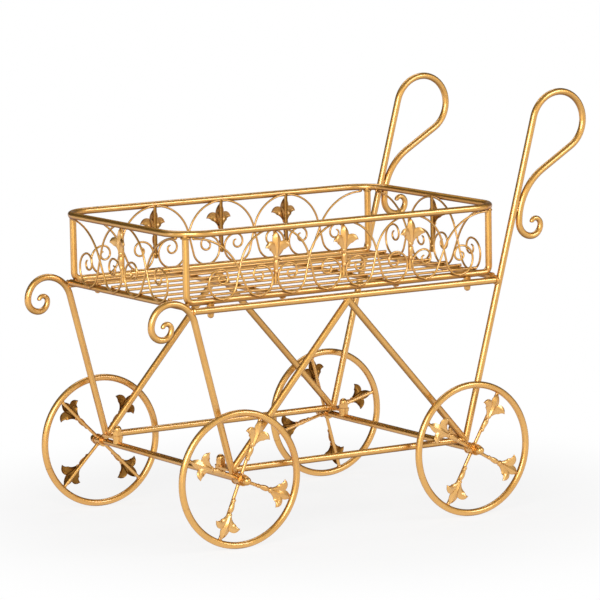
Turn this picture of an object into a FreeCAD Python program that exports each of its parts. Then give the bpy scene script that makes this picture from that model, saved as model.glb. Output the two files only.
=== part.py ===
import FreeCAD, Part
import math
import os

# Garden cart planter of welded round rod: a scrolled tray bolted between two side frames,
# on two fixed axles with four free-turning wheels. Lengths in millimetres, angles in degrees.
# +X points to the handles, +Z up, the origin lies on the floor at the middle of the outline.

Vector = FreeCAD.Vector
SIDES = {"left": -1, "right": 1}
ENDS = {"front": -1, "rear": 1}
OVERRUN = 40.0

# Wheels and axles
WHEEL_DIAMETER = 200.0
RIM_ROD = 10.0
WHEEL_BASE = 400.0
WHEEL_OFFSET = 20.0
AXLE_DIAMETER = 10.0
HUB_DIAMETER = 15.0
HUB_LENGTH = 17.0
RUNNING_CLEARANCE = 0.05
END_PLAY = 0.2
WHEEL_WASHER_DIAMETER = 17.0
WHEEL_WASHER_THICKNESS = 1.6
SPOKE_ROD = 5.0
SPOKE_COUNT = 4
SPOKE_BURY = 1.0
SPOKE_ANGLES = {
    ("front", "left"): 67.0,
    ("rear", "left"): 60.0,
    ("front", "right"): 45.0,
    ("rear", "right"): 15.0,
}

# Side frames
FRAME_ROD = 10.0
FOOT_GAP = 1.0
UPPER_RAIL_HEIGHT = 343.0
BRACE_DROP = 6.0
FRONT_LEG_LEAN = 14.5
REAR_LEG_LEAN = 15.3
SCROLL_RISE = 14.0
FRONT_SCROLL_RADIUS = 32.0
FRONT_SCROLL_SHARES = (1.25, 1.0, 0.56, 0.46, 0.24, 0.2)
HANDLE_RISE = 271.0
HANDLE_RADIUS = 43.0
HANDLE_LOOP_SHARES = (1.11, 1.0, 1.05)
HANDLE_RETURN_TURN = 59.0
HANDLE_RETURN_RADIUS = 88.0
HANDLE_GAP = 0.4
HANDLE_SCROLL_RADIUS = 21.0
HANDLE_SCROLL_SHARES = (1.05, 0.78, 0.45, 0.3)
QUARTER = 90.0

# Lugs that carry the frames on the axles and the tray on the frames
LUG_THICKNESS = 3.0
LUG_WIDTH = 16.0
AXLE_LUG_REACH = 32.0
TRAY_LUG_REACH = 18.0
BOLT_CLEARANCE = 0.1
AXLE_BOSS_DIAMETER = 14.0
AXLE_BOSS_SKIRT = 3.0
TRAY_BOLT_INSET = 39.0
TRAY_BOSS_DIAMETER = 11.0
TRAY_BOSS_HEIGHT = 3.5
TRAY_BOSS_SKIRT = 2.0

# Dome nuts and washers, by thread; the axle ends are threaded as the studs on the axles
AXLE_BOLT = 8.0
AXLE_NUT_FLATS = 13.0
AXLE_NUT_HEX_HEIGHT = 6.5
AXLE_NUT_DOME_DIAMETER = 12.4
AXLE_NUT_HEIGHT = 15.0
AXLE_NUT_DEPTH = 11.0
AXLE_WASHER_DIAMETER = 17.0
AXLE_WASHER_THICKNESS = 1.6
TRAY_BOLT = 6.0
TRAY_NUT_FLATS = 10.0
TRAY_NUT_HEX_HEIGHT = 5.0
TRAY_NUT_DOME_DIAMETER = 9.6
TRAY_NUT_HEIGHT = 12.0
TRAY_NUT_DEPTH = 8.0
TRAY_WASHER_DIAMETER = 12.0
TRAY_WASHER_THICKNESS = 1.2
THREAD_CLEARANCE = 0.05

# Tray
TRAY_END_GAP = 9.2
TRAY_POST_WIDTH = 326.0
TRAY_ROD = 10.0
TRAY_BEND_RADIUS = 10.0
TRAY_DEPTH = 98.0
END_ROD_ANGLE = 50.0
WELD_GAP = 0.1
CROSS_ROD = 7.0
CROSS_ROD_SPACING = 194.0
FLOOR_WIRE = 4.0
FLOOR_WIRE_COUNT = 7
FLOOR_WIRE_OVERHANG = 3.0

# Scroll panels
SCROLL_WIRE = 3.2
PANEL_INSET = 1.5
END_WIRE_GAP = 0.2
STEM_ROD = 5.0
STEM_FOOT_RISE = 18
STEM_GAP = 0.3
SIDE_BAYS = 4.5
LONG_STRAIGHT_SHARE = 0.364
LONG_END_STRAIGHT_SHARE = 0.348
SHORT_STRAIGHT_SHARE = 0.431
SHORT_END_STRAIGHT_SHARE = 0.36
LONG_LOOP_RADIUS = 23.0
SHORT_LOOP_RADIUS = 26.0
SHORT_LOOP_GAP = 35.5
LOOP_SHARES = (1.0, 0.87, 0.52, 0.39, 0.3, 0.22)

# Fleur ornament on the spokes and the panel stems
FLEUR_HEAD_LENGTH = 37.0
FLEUR_TAIL_LENGTH = 25.0
FLEUR_WIDTH = 42.0
FLEUR_THICKNESS = 3.0
FLEUR_TIP_GAP = 0.3
FLEUR_COLLAR_RADIUS = 4.6
FLEUR_BULGE_RADIUS = 4.2
FLEUR_NECK_RADIUS = 2.6
FLEUR_END_RADIUS = 3.2
LEAF_BULGE_SHARES = (0.165, 0.72)
LEAF_NOTCH_SHARES = (0.13, 0.5)
PETAL_TOP_SHARES = (0.3, 0.56)
PETAL_TIP_SHARES = (0.5, 0.38)
PETAL_UNDER_SHARES = (0.24, 0.3)
HEAD_ROOT_SHARES = (0.09, 0.0)
BULGE_PLACE_SHARE = 0.45

# Heights and offsets that follow from the sizes above
AXLE_HEIGHT = WHEEL_DIAMETER / 2
LOWER_RAIL_HEIGHT = AXLE_HEIGHT + AXLE_DIAMETER / 2 + FOOT_GAP + FRAME_ROD / 2
FOOT_HEIGHT = LOWER_RAIL_HEIGHT - FRAME_ROD / 2
TRAY_Y = TRAY_POST_WIDTH / 2
FRAME_Y = TRAY_Y + TRAY_LUG_REACH
WHEEL_Y = FRAME_Y + WHEEL_OFFSET
SCROLL_TOP_HEIGHT = UPPER_RAIL_HEIGHT + SCROLL_RISE
HANDLE_TOP_HEIGHT = UPPER_RAIL_HEIGHT + HANDLE_RISE
TRAY_RAIL_HEIGHT = UPPER_RAIL_HEIGHT + LUG_THICKNESS / 2 + TRAY_BOSS_HEIGHT + TRAY_ROD / 2
TOP_RAIL_HEIGHT = TRAY_RAIL_HEIGHT + TRAY_DEPTH
PANEL_STEP = TRAY_ROD / 2 + SCROLL_WIRE / 2
PANEL_Y = TRAY_Y + PANEL_STEP
TOP_RAIL_Y = PANEL_Y + PANEL_STEP


def top_rail_out():
    """Half length of the top rail, which ends a set gap short of the leaning rear legs."""
    lean = math.radians(REAR_LEG_LEAN)
    leg = WHEEL_BASE / 2 + (TOP_RAIL_HEIGHT - FOOT_HEIGHT) * math.tan(lean)
    return leg - FRAME_ROD / 2 / math.cos(lean) - TRAY_END_GAP - TRAY_ROD / 2


TOP_RAIL_OUT = top_rail_out()
PANEL_OUT = TOP_RAIL_OUT - PANEL_STEP
END_ROD_OUT = PANEL_OUT - PANEL_STEP
END_ROD_TURN = math.radians(END_ROD_ANGLE)
END_ROD_TOUCH = TRAY_BEND_RADIUS + TRAY_ROD + WELD_GAP
END_ROD_HEIGHT = TRAY_RAIL_HEIGHT + TRAY_BEND_RADIUS - END_ROD_TOUCH * math.sin(END_ROD_TURN)
TRAY_HALF = END_ROD_OUT - END_ROD_TOUCH * math.cos(END_ROD_TURN) + TRAY_BEND_RADIUS
STEM_SPACING = 2 * TRAY_HALF / SIDE_BAYS
POST_LEAD = TOP_RAIL_OUT - TRAY_HALF
POST_SIDE = TOP_RAIL_Y - TRAY_Y
TOP_CORNER_RADIUS = POST_LEAD + POST_SIDE + math.sqrt(2 * POST_LEAD * POST_SIDE)
FLOOR_WIRE_HEIGHT = END_ROD_HEIGHT + (TRAY_ROD + FLOOR_WIRE) / 2 + WELD_GAP


class RodPath:
    """A flat path of straight runs and tangent arcs, walked from a point along a heading."""

    def __init__(self, x, z, heading):
        self.point = (x, z)
        self.heading = heading
        self.start_heading = heading
        self.vertices = [self.point]
        self.runs = []

    def line(self, length):
        turn = math.radians(self.heading)
        end = (self.point[0] + length * math.cos(turn), self.point[1] + length * math.sin(turn))
        self.runs.append((self.point, end))
        self.move(end)
        return self

    def arc(self, radius, turn):
        """Turns left for a positive angle, right for a negative one."""
        side = math.copysign(1, turn)
        out = math.radians(self.heading - side * QUARTER)
        centre = (self.point[0] - radius * math.cos(out), self.point[1] - radius * math.sin(out))
        points = []
        for part in (0.5, 1):
            angle = out + math.radians(turn) * part
            points.append((centre[0] + radius * math.cos(angle), centre[1] + radius * math.sin(angle)))
        middle, end = points
        self.runs.append((self.point, middle, end))
        self.heading += turn
        self.move(end)
        return self

    def move(self, point):
        self.point = point
        self.vertices.append(point)

    def solid(self, diameter, place):
        """Sweeps a round rod along the path; place turns a flat point into a point in space."""
        edges = []
        for run in self.runs:
            points = [place(x, z) for x, z in run]
            curve = Part.LineSegment(*points) if len(points) == 2 else Part.Arc(*points)
            edges.append(curve.toShape())
        heading = math.radians(self.start_heading)
        x, z = self.vertices[0]
        base = place(x, z)
        along = place(x + math.cos(heading), z + math.sin(heading)) - base
        circle = Part.Wire([Part.makeCircle(diameter / 2, base, along)])
        return Part.Wire(edges).makePipeShell([circle], True, False)


def upright(y):
    """Places a flat path in the upright plane at y, along the length of the cart."""
    return lambda x, z: Vector(x, y, z)


def crosswise(x):
    """Places a flat path in the upright plane at x, across the cart."""
    return lambda y, z: Vector(x, y, z)


def rod(start, end, diameter):
    return Part.makeCylinder(diameter / 2, (end - start).Length, start, end - start)


def main_solid(shape):
    return max(shape.Solids, key=lambda solid: solid.Volume)


def cut_rod(start, end, diameter, neighbours):
    return main_solid(rod(start, end, diameter).cut(neighbours))


def ring(inner, outer, thickness, base, axis):
    body = Part.makeCylinder(outer, thickness, base, axis)
    return body.cut(Part.makeCylinder(inner, thickness, base, axis))


def dome_nut(flats, hex_height, dome_diameter, height, bore, depth):
    """A cap nut standing on z = 0, its blind bore open below."""
    corner = flats / math.sqrt(3)
    angles = [math.radians(60 * k) for k in range(7)]
    outline = Part.makePolygon([Vector(corner * math.cos(a), corner * math.sin(a), 0) for a in angles])
    body = Part.Face(outline).extrude(Vector(0, 0, hex_height))
    dome = dome_diameter / 2
    body = body.fuse(Part.makeCylinder(dome, height - dome))
    body = body.fuse(Part.makeSphere(dome, Vector(0, 0, height - dome)))
    return body.cut(Part.makeCylinder(bore, depth)).removeSplitter()


def placed(shape, base, axis):
    """A copy of a shape made along +Z, stood at base with its Z along axis."""
    copy = shape.copy()
    copy.Placement = FreeCAD.Placement(base, FreeCAD.Rotation(Vector(0, 0, 1), axis))
    return copy


# Rods of one side frame as flat paths, first measured from the front axle
def front_leg_path(front):
    lean = math.radians(FRONT_LEG_LEAN)
    radii = [share * FRONT_SCROLL_RADIUS for share in FRONT_SCROLL_SHARES]
    rise = SCROLL_TOP_HEIGHT - radii[0] * (1 - math.sin(lean)) - FOOT_HEIGHT
    path = RodPath(front, FOOT_HEIGHT, QUARTER + FRONT_LEG_LEAN)
    path.line(rise / math.cos(lean)).arc(radii[0], QUARTER - FRONT_LEG_LEAN)
    for radius in radii[1:]:
        path.arc(radius, QUARTER)
    return path


def rear_leg_path(rear):
    lean = math.radians(REAR_LEG_LEAN)
    over, back, under = (share * HANDLE_RADIUS for share in HANDLE_LOOP_SHARES)
    rise = HANDLE_TOP_HEIGHT - over * (1 - math.sin(lean)) - FOOT_HEIGHT
    path = RodPath(rear, FOOT_HEIGHT, QUARTER - REAR_LEG_LEAN)
    path.line(rise / math.cos(lean)).arc(over, REAR_LEG_LEAN - QUARTER)
    path.arc(back, -QUARTER).arc(under, -HANDLE_RETURN_TURN)
    # The straight return is as long as leaves its bend just touching the leg
    heading = math.radians(path.heading)
    across = (math.cos(lean), -math.sin(lean))
    reach = across[0] * (path.point[0] - rear) + across[1] * (path.point[1] - FOOT_HEIGHT)
    bend = 1 + across[0] * math.sin(heading) - across[1] * math.cos(heading)
    closing = across[0] * math.cos(heading) + across[1] * math.sin(heading)
    path.line((FRAME_ROD + HANDLE_GAP + HANDLE_RETURN_RADIUS * bend - reach) / closing)
    path.arc(HANDLE_RETURN_RADIUS, HANDLE_RETURN_TURN)
    for share in HANDLE_SCROLL_SHARES:
        path.arc(share * HANDLE_SCROLL_RADIUS, QUARTER)
    return path


FRONT_REACH = min(x for x, z in front_leg_path(0).vertices)
REAR_REACH = max(x for x, z in rear_leg_path(WHEEL_BASE).vertices)
AXLE_X = {"front": -(FRONT_REACH + REAR_REACH) / 2}
AXLE_X["rear"] = AXLE_X["front"] + WHEEL_BASE
MIDDLE_X = (AXLE_X["front"] + AXLE_X["rear"]) / 2


def upper_rail_ends():
    """Where the upper rail meets the axes of the front and the rear leg."""
    bend = FRONT_SCROLL_SHARES[0] * FRONT_SCROLL_RADIUS
    top_x = front_leg_path(AXLE_X["front"]).vertices[2][0]
    drop = UPPER_RAIL_HEIGHT - (SCROLL_TOP_HEIGHT - bend)
    rear_lean = math.tan(math.radians(REAR_LEG_LEAN))
    end = AXLE_X["rear"] + (UPPER_RAIL_HEIGHT - FOOT_HEIGHT) * rear_lean
    return top_x + math.sqrt(bend**2 - drop**2), end


def side_frame(side):
    """The seven rods and the lugs of one side frame."""
    y = SIDES[side] * FRAME_Y
    front_leg = front_leg_path(AXLE_X["front"]).solid(FRAME_ROD, upright(y))
    rear_leg = rear_leg_path(AXLE_X["rear"]).solid(FRAME_ROD, upright(y))
    legs = {"front": front_leg, "rear": rear_leg}
    start, end = (Vector(x, y, UPPER_RAIL_HEIGHT) for x in upper_rail_ends())
    upper = cut_rod(start, end, FRAME_ROD, [front_leg, rear_leg])
    feet = {name: Vector(AXLE_X[name], y, LOWER_RAIL_HEIGHT) for name in ENDS}
    lower = cut_rod(feet["front"], feet["rear"], FRAME_ROD, [front_leg, rear_leg])
    nodes = {"upper_rail": upper, "lower_rail": lower, "front_leg": front_leg, "rear_leg": rear_leg}
    apex = Vector(MIDDLE_X, y, UPPER_RAIL_HEIGHT - BRACE_DROP)
    for name, sign in ENDS.items():
        run = apex - feet[name]
        past = apex + run / run.Length * FRAME_ROD
        beyond = Part.makeBox(OVERRUN, OVERRUN, OVERRUN, apex - Vector(0, OVERRUN / 2, OVERRUN / 2))
        if sign > 0:
            beyond.translate(Vector(-OVERRUN, 0, 0))
        nodes[name + "_brace"] = cut_rod(feet[name], past, FRAME_ROD, [upper, lower, legs[name], beyond])
    nodes["axle_lugs"] = [
        axle_lug(side, name, [lower, legs[name], nodes[name + "_brace"]]) for name in ENDS
    ]
    nodes["tray_lugs"] = [tray_lug(side, name, upper) for name in ENDS]
    return {side + "_" + name: shape for name, shape in nodes.items()}


def lug(x, side, from_y, bolt_y, height, bolt, neighbours):
    """A flat ear, round at its free end, from a frame rod to just past its bolt."""
    sign = SIDES[side]
    low = height - LUG_THICKNESS / 2
    near, far = sorted((sign * from_y, sign * bolt_y))
    plate = Part.makeBox(LUG_WIDTH, far - near, LUG_THICKNESS, Vector(x - LUG_WIDTH / 2, near, low))
    eye = Vector(x, sign * bolt_y, low)
    plate = plate.fuse(Part.makeCylinder(LUG_WIDTH / 2, LUG_THICKNESS, eye))
    hole = Part.makeCylinder(bolt / 2 + BOLT_CLEARANCE, LUG_THICKNESS, eye)
    return main_solid(plate.cut([hole] + neighbours).removeSplitter())


def axle_lug(side, name, rods):
    return lug(AXLE_X[name], side, FRAME_Y, AXLE_BOLT_Y, LOWER_RAIL_HEIGHT, AXLE_BOLT, rods)


def tray_lug(side, name, rail):
    return lug(TRAY_BOLT_X[name], side, FRAME_Y, TRAY_Y, UPPER_RAIL_HEIGHT, TRAY_BOLT, [rail])


AXLE_BOLT_Y = FRAME_Y - AXLE_LUG_REACH
TRAY_BOLT_X = {name: MIDDLE_X + sign * (TRAY_HALF - TRAY_BOLT_INSET) for name, sign in ENDS.items()}


# Axles, the wheels that turn on them and the bolts that hold the side frames
def axle(name):
    shoulder = WHEEL_Y - HUB_LENGTH / 2 - END_PLAY - WHEEL_WASHER_THICKNESS
    tip = wheel_nut_y() + AXLE_NUT_DEPTH - END_PLAY
    x = AXLE_X[name]
    body = rod(Vector(x, -shoulder, AXLE_HEIGHT), Vector(x, shoulder, AXLE_HEIGHT), AXLE_DIAMETER)
    journal = rod(Vector(x, -tip, AXLE_HEIGHT), Vector(x, tip, AXLE_HEIGHT), AXLE_BOLT)
    return body.fuse(journal).removeSplitter()


def wheel_nut_y():
    return WHEEL_Y + HUB_LENGTH / 2 + END_PLAY + WHEEL_WASHER_THICKNESS


def wheel(end, side):
    """Rim, hub, spokes and ornaments of one wheel at its rest angle."""
    sign = SIDES[side]
    centre = Vector(AXLE_X[end], sign * WHEEL_Y, AXLE_HEIGHT)
    out = Vector(0, sign, 0)
    rim_radius = (WHEEL_DIAMETER - RIM_ROD) / 2
    rim = Part.makeTorus(rim_radius, RIM_ROD / 2, centre, out)
    bore = AXLE_BOLT / 2 + RUNNING_CLEARANCE
    hub = ring(bore, HUB_DIAMETER / 2, HUB_LENGTH, centre - out * (HUB_LENGTH / 2), out)
    inner_edge = rim_radius - RIM_ROD / 2
    spokes, ornaments = [], []
    for k in range(SPOKE_COUNT):
        angle = math.radians(SPOKE_ANGLES[end, side] + 360 / SPOKE_COUNT * k)
        ray = Vector(math.cos(angle), 0, math.sin(angle))
        start = centre + ray * (HUB_DIAMETER / 2 - SPOKE_BURY)
        spokes.append(cut_rod(start, centre + ray * rim_radius, SPOKE_ROD, [hub, rim]))
        tip = centre + ray * (inner_edge - FLEUR_TIP_GAP) + out * (SPOKE_ROD / 2 + WELD_GAP)
        ornaments.append(fleur(tip, ray, out))
    return {"rim": rim, "hub": hub, "spokes": spokes, "ornaments": ornaments}


def wheel_hardware():
    """Washers each side of the hubs and the cap nuts that hold the wheels on."""
    washers, nuts = [], []
    bore = AXLE_BOLT / 2 + RUNNING_CLEARANCE
    nut = axle_nut()
    inner = WHEEL_Y - HUB_LENGTH / 2 - END_PLAY - WHEEL_WASHER_THICKNESS
    for x in AXLE_X.values():
        for sign in SIDES.values():
            out = Vector(0, sign, 0)
            for y in (inner, wheel_nut_y() - WHEEL_WASHER_THICKNESS):
                base = Vector(x, sign * y, AXLE_HEIGHT)
                washers.append(ring(bore, WHEEL_WASHER_DIAMETER / 2, WHEEL_WASHER_THICKNESS, base, out))
            nuts.append(placed(nut, Vector(x, sign * wheel_nut_y(), AXLE_HEIGHT), out))
    return {"wheel_washers": washers, "wheel_cap_nuts": nuts}


def axle_nut():
    bore = AXLE_BOLT / 2 + THREAD_CLEARANCE
    return dome_nut(
        AXLE_NUT_FLATS, AXLE_NUT_HEX_HEIGHT, AXLE_NUT_DOME_DIAMETER, AXLE_NUT_HEIGHT, bore, AXLE_NUT_DEPTH
    )


def tray_nut():
    bore = TRAY_BOLT / 2 + THREAD_CLEARANCE
    return dome_nut(
        TRAY_NUT_FLATS, TRAY_NUT_HEX_HEIGHT, TRAY_NUT_DOME_DIAMETER, TRAY_NUT_HEIGHT, bore, TRAY_NUT_DEPTH
    )


def axle_bolts(axles):
    """Bosses and studs on the axles, with the washers and nuts that clamp the frame lugs."""
    up = Vector(0, 0, 1)
    groups = {"axle_bosses": [], "axle_studs": [], "axle_washers": [], "axle_dome_nuts": []}
    lug_low = LOWER_RAIL_HEIGHT - LUG_THICKNESS / 2
    washer_low = lug_low + LUG_THICKNESS
    nut_low = washer_low + AXLE_WASHER_THICKNESS
    skirt = AXLE_HEIGHT + AXLE_DIAMETER / 2 - AXLE_BOSS_SKIRT
    hole = AXLE_BOLT / 2 + BOLT_CLEARANCE
    for name, body in axles.items():
        for sign in SIDES.values():
            foot = Vector(AXLE_X[name], sign * AXLE_BOLT_Y, 0)
            boss = ring(hole, AXLE_BOSS_DIAMETER / 2, lug_low - skirt, foot + up * skirt, up)
            top = nut_low + AXLE_NUT_DEPTH - END_PLAY
            stud = rod(foot + up * AXLE_HEIGHT, foot + up * top, AXLE_BOLT)
            groups["axle_bosses"].append(main_solid(boss.cut(body)))
            groups["axle_studs"].append(main_solid(stud.cut(body)))
            washer = ring(hole, AXLE_WASHER_DIAMETER / 2, AXLE_WASHER_THICKNESS, foot + up * washer_low, up)
            groups["axle_washers"].append(washer)
            groups["axle_dome_nuts"].append(placed(axle_nut(), foot + up * nut_low, up))
    return groups


def tray_bolts(side_rails):
    """Bosses and studs under the tray rails, with the washers and nuts below the frame lugs."""
    up = Vector(0, 0, 1)
    groups = {"tray_bosses": [], "tray_studs": [], "tray_washers": [], "tray_dome_nuts": []}
    lug_top = UPPER_RAIL_HEIGHT + LUG_THICKNESS / 2
    washer_low = lug_top - LUG_THICKNESS - TRAY_WASHER_THICKNESS
    skirt = TRAY_RAIL_HEIGHT - TRAY_ROD / 2 + TRAY_BOSS_SKIRT
    hole = TRAY_BOLT / 2 + BOLT_CLEARANCE
    for side, sign in SIDES.items():
        for x in TRAY_BOLT_X.values():
            foot = Vector(x, sign * TRAY_Y, 0)
            boss = ring(hole, TRAY_BOSS_DIAMETER / 2, skirt - lug_top, foot + up * lug_top, up)
            low = washer_low - TRAY_NUT_DEPTH + END_PLAY
            stud = rod(foot + up * low, foot + up * TRAY_RAIL_HEIGHT, TRAY_BOLT)
            groups["tray_bosses"].append(main_solid(boss.cut(side_rails[side])))
            groups["tray_studs"].append(main_solid(stud.cut(side_rails[side])))
            washer = ring(hole, TRAY_WASHER_DIAMETER / 2, TRAY_WASHER_THICKNESS, foot + up * washer_low, up)
            groups["tray_washers"].append(washer)
            groups["tray_dome_nuts"].append(placed(tray_nut(), foot + up * washer_low, -up))
    return groups


# Fleur ornament
def fleur(tip, along, out):
    """A fleur whose head ends at tip, its flat back on the rod, its face towards out."""
    across = along.cross(out)
    root = tip - along * FLEUR_HEAD_LENGTH

    def at(shares, hand=1):
        return root + across * (hand * shares[0] * FLEUR_WIDTH) + along * (shares[1] * FLEUR_HEAD_LENGTH)

    edges = []
    for hand in (1, -1):
        notch = at(LEAF_NOTCH_SHARES, hand)
        petal_tip = at(PETAL_TIP_SHARES, hand)
        leaf = Part.Arc(at((0, 1)), at(LEAF_BULGE_SHARES, hand), notch)
        crown = Part.Arc(notch, at(PETAL_TOP_SHARES, hand), petal_tip)
        under = Part.Arc(petal_tip, at(PETAL_UNDER_SHARES, hand), at(HEAD_ROOT_SHARES, hand))
        edges += [curve.toShape() for curve in (leaf, crown, under)]
    edges.append(Part.LineSegment(at(HEAD_ROOT_SHARES), at(HEAD_ROOT_SHARES, -1)).toShape())
    head = Part.Face(Part.Wire(Part.__sortEdges__(edges))).extrude(out * FLEUR_THICKNESS)
    return main_solid(head.fuse(fleur_tail(root, along, out)).removeSplitter())


def fleur_tail(root, along, out):
    """Collar, bulge and end bead below the head, half round on a flat back."""
    across = along.cross(out)
    collar, neck = FLEUR_COLLAR_RADIUS, FLEUR_NECK_RADIUS
    length = FLEUR_TAIL_LENGTH
    bulge_start = math.sqrt(collar**2 - neck**2)
    bulge_end = length - FLEUR_END_RADIUS - math.sqrt(FLEUR_END_RADIUS**2 - neck**2)
    bulge_peak = bulge_start + BULGE_PLACE_SHARE * (bulge_end - bulge_start)

    def at(radius, below):
        return root + across * radius - along * below

    curves = [
        Part.Arc(at(0, -collar), at(collar, 0), at(neck, bulge_start)),
        Part.Arc(at(neck, bulge_start), at(FLEUR_BULGE_RADIUS, bulge_peak), at(neck, bulge_end)),
        Part.Arc(at(neck, bulge_end), at(FLEUR_END_RADIUS, length - FLEUR_END_RADIUS), at(0, length)),
        Part.LineSegment(at(0, length), at(0, -collar)),
    ]
    profile = Part.Face(Part.Wire([curve.toShape() for curve in curves]))
    return profile.revolve(root, -along, 2 * QUARTER)


# Tray
def tray_top_rail():
    """The rounded loop whose corners pass over the four posts."""
    path = RodPath(MIDDLE_X - TOP_RAIL_OUT + TOP_CORNER_RADIUS, -TOP_RAIL_Y, 0)
    for run in (TOP_RAIL_OUT, TOP_RAIL_Y, TOP_RAIL_OUT, TOP_RAIL_Y):
        path.line(2 * (run - TOP_CORNER_RADIUS)).arc(TOP_CORNER_RADIUS, QUARTER)
    return path.solid(TRAY_ROD, lambda x, y: Vector(x, y, TOP_RAIL_HEIGHT))


def tray_side_frame(side, top_rail):
    """A bottom rail bent up into a post at each end."""
    path = RodPath(MIDDLE_X - TRAY_HALF, TOP_RAIL_HEIGHT, -QUARTER)
    path.line(TRAY_DEPTH - TRAY_BEND_RADIUS).arc(TRAY_BEND_RADIUS, QUARTER)
    path.line(2 * (TRAY_HALF - TRAY_BEND_RADIUS))
    path.arc(TRAY_BEND_RADIUS, QUARTER).line(TRAY_DEPTH - TRAY_BEND_RADIUS)
    return main_solid(path.solid(TRAY_ROD, upright(SIDES[side] * TRAY_Y)).cut(top_rail))


def tray_floor(side_rails):
    """End rods, the cross rods between the rails and the lengthwise floor wires."""
    half = TRAY_Y + TRAY_ROD / 2
    end_rods = []
    for sign in ENDS.values():
        place = Vector(MIDDLE_X + sign * END_ROD_OUT, 0, END_ROD_HEIGHT)
        end_rods.append(rod(place - Vector(0, half, 0), place + Vector(0, half, 0), TRAY_ROD))
    cross_height = FLOOR_WIRE_HEIGHT - (FLOOR_WIRE + CROSS_ROD) / 2 - WELD_GAP
    cross_rods = []
    for sign in ENDS.values():
        place = Vector(MIDDLE_X + sign * CROSS_ROD_SPACING / 2, 0, cross_height)
        reach = Vector(0, TRAY_Y, 0)
        cross_rods.append(cut_rod(place - reach, place + reach, CROSS_ROD, list(side_rails.values())))
    spacing = TRAY_POST_WIDTH / (FLOOR_WIRE_COUNT + 1)
    reach = Vector(END_ROD_OUT + FLOOR_WIRE_OVERHANG, 0, 0)
    wires = []
    for k in range(FLOOR_WIRE_COUNT):
        place = Vector(MIDDLE_X, spacing * (k + 1) - TRAY_Y, FLOOR_WIRE_HEIGHT)
        wires.append(rod(place - reach, place + reach, FLOOR_WIRE))
    return {"tray_end_rods": end_rods, "tray_cross_rods": cross_rods, "tray_floor_wires": wires}


def scroll_wire(start, hand, top, bottom, advance, straight_share, loop_radius, place):
    """Path of a wire that swings down from start and curls into a loop on the bottom rail.

    The wire turns down, runs straight for a share of its drop and turns back level at the
    loop's foot; hand is 1 for a wire towards larger values and -1 for its mirror image.
    """
    drop = top - bottom
    straight = straight_share * drop
    turn = 2 * math.atan(drop / (advance + straight))
    swing = math.degrees(turn)
    radii = (advance - straight * math.cos(turn)) / math.sin(turn)
    path = RodPath(0, top, 0)
    path.arc(radii - loop_radius, -swing).line(straight).arc(loop_radius, swing)
    for share in LOOP_SHARES:
        path.arc(share * loop_radius, QUARTER)
    return path, lambda u, z: place(start + hand * u, z)


def loop_foot(loop_radius):
    """Distance from a stem to the foot of the loop that stands beside it."""
    return STEM_ROD / 2 + STEM_GAP + SCROLL_WIRE / 2 + loop_radius


def scroll_panel(stem_places, half_width, low_rail, reach, shares, loop_radius, place, cutters):
    """Wires of one panel: a pair from every stem and one from each end, crossing between stems.

    reach is the distance from a stem to the foot of the loop that its own wire ends in.
    """
    share, end_share = shares
    top = TOP_RAIL_HEIGHT - PANEL_INSET
    bottom = low_rail + PANEL_INSET
    end_top = TOP_RAIL_HEIGHT - (TRAY_ROD + SCROLL_WIRE) / 2 - END_WIRE_GAP
    wires, crossed = [], []
    for hand in (1, -1):
        gaps = []
        starts = [(u, top, reach, share) for u in stem_places]
        end_reach = half_width + min(u * hand for u in stem_places) - loop_foot(loop_radius)
        starts.append((-hand * half_width, end_top, end_reach, end_share))
        for start, height, advance, straight in starts:
            path, at = scroll_wire(start, hand, height, bottom, advance, straight, loop_radius, place)
            wires += path.solid(SCROLL_WIRE, at).cut(cutters + crossed).Solids
            gaps.append(path.solid(SCROLL_WIRE + 2 * WELD_GAP, at))
        crossed = gaps
    return wires


def corner_start(straight_half):
    """Where a panel plane passes under the rounded corner of the top rail."""
    inner = TOP_CORNER_RADIUS - PANEL_STEP
    return straight_half - TOP_CORNER_RADIUS + math.sqrt(TOP_CORNER_RADIUS**2 - inner**2)


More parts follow.
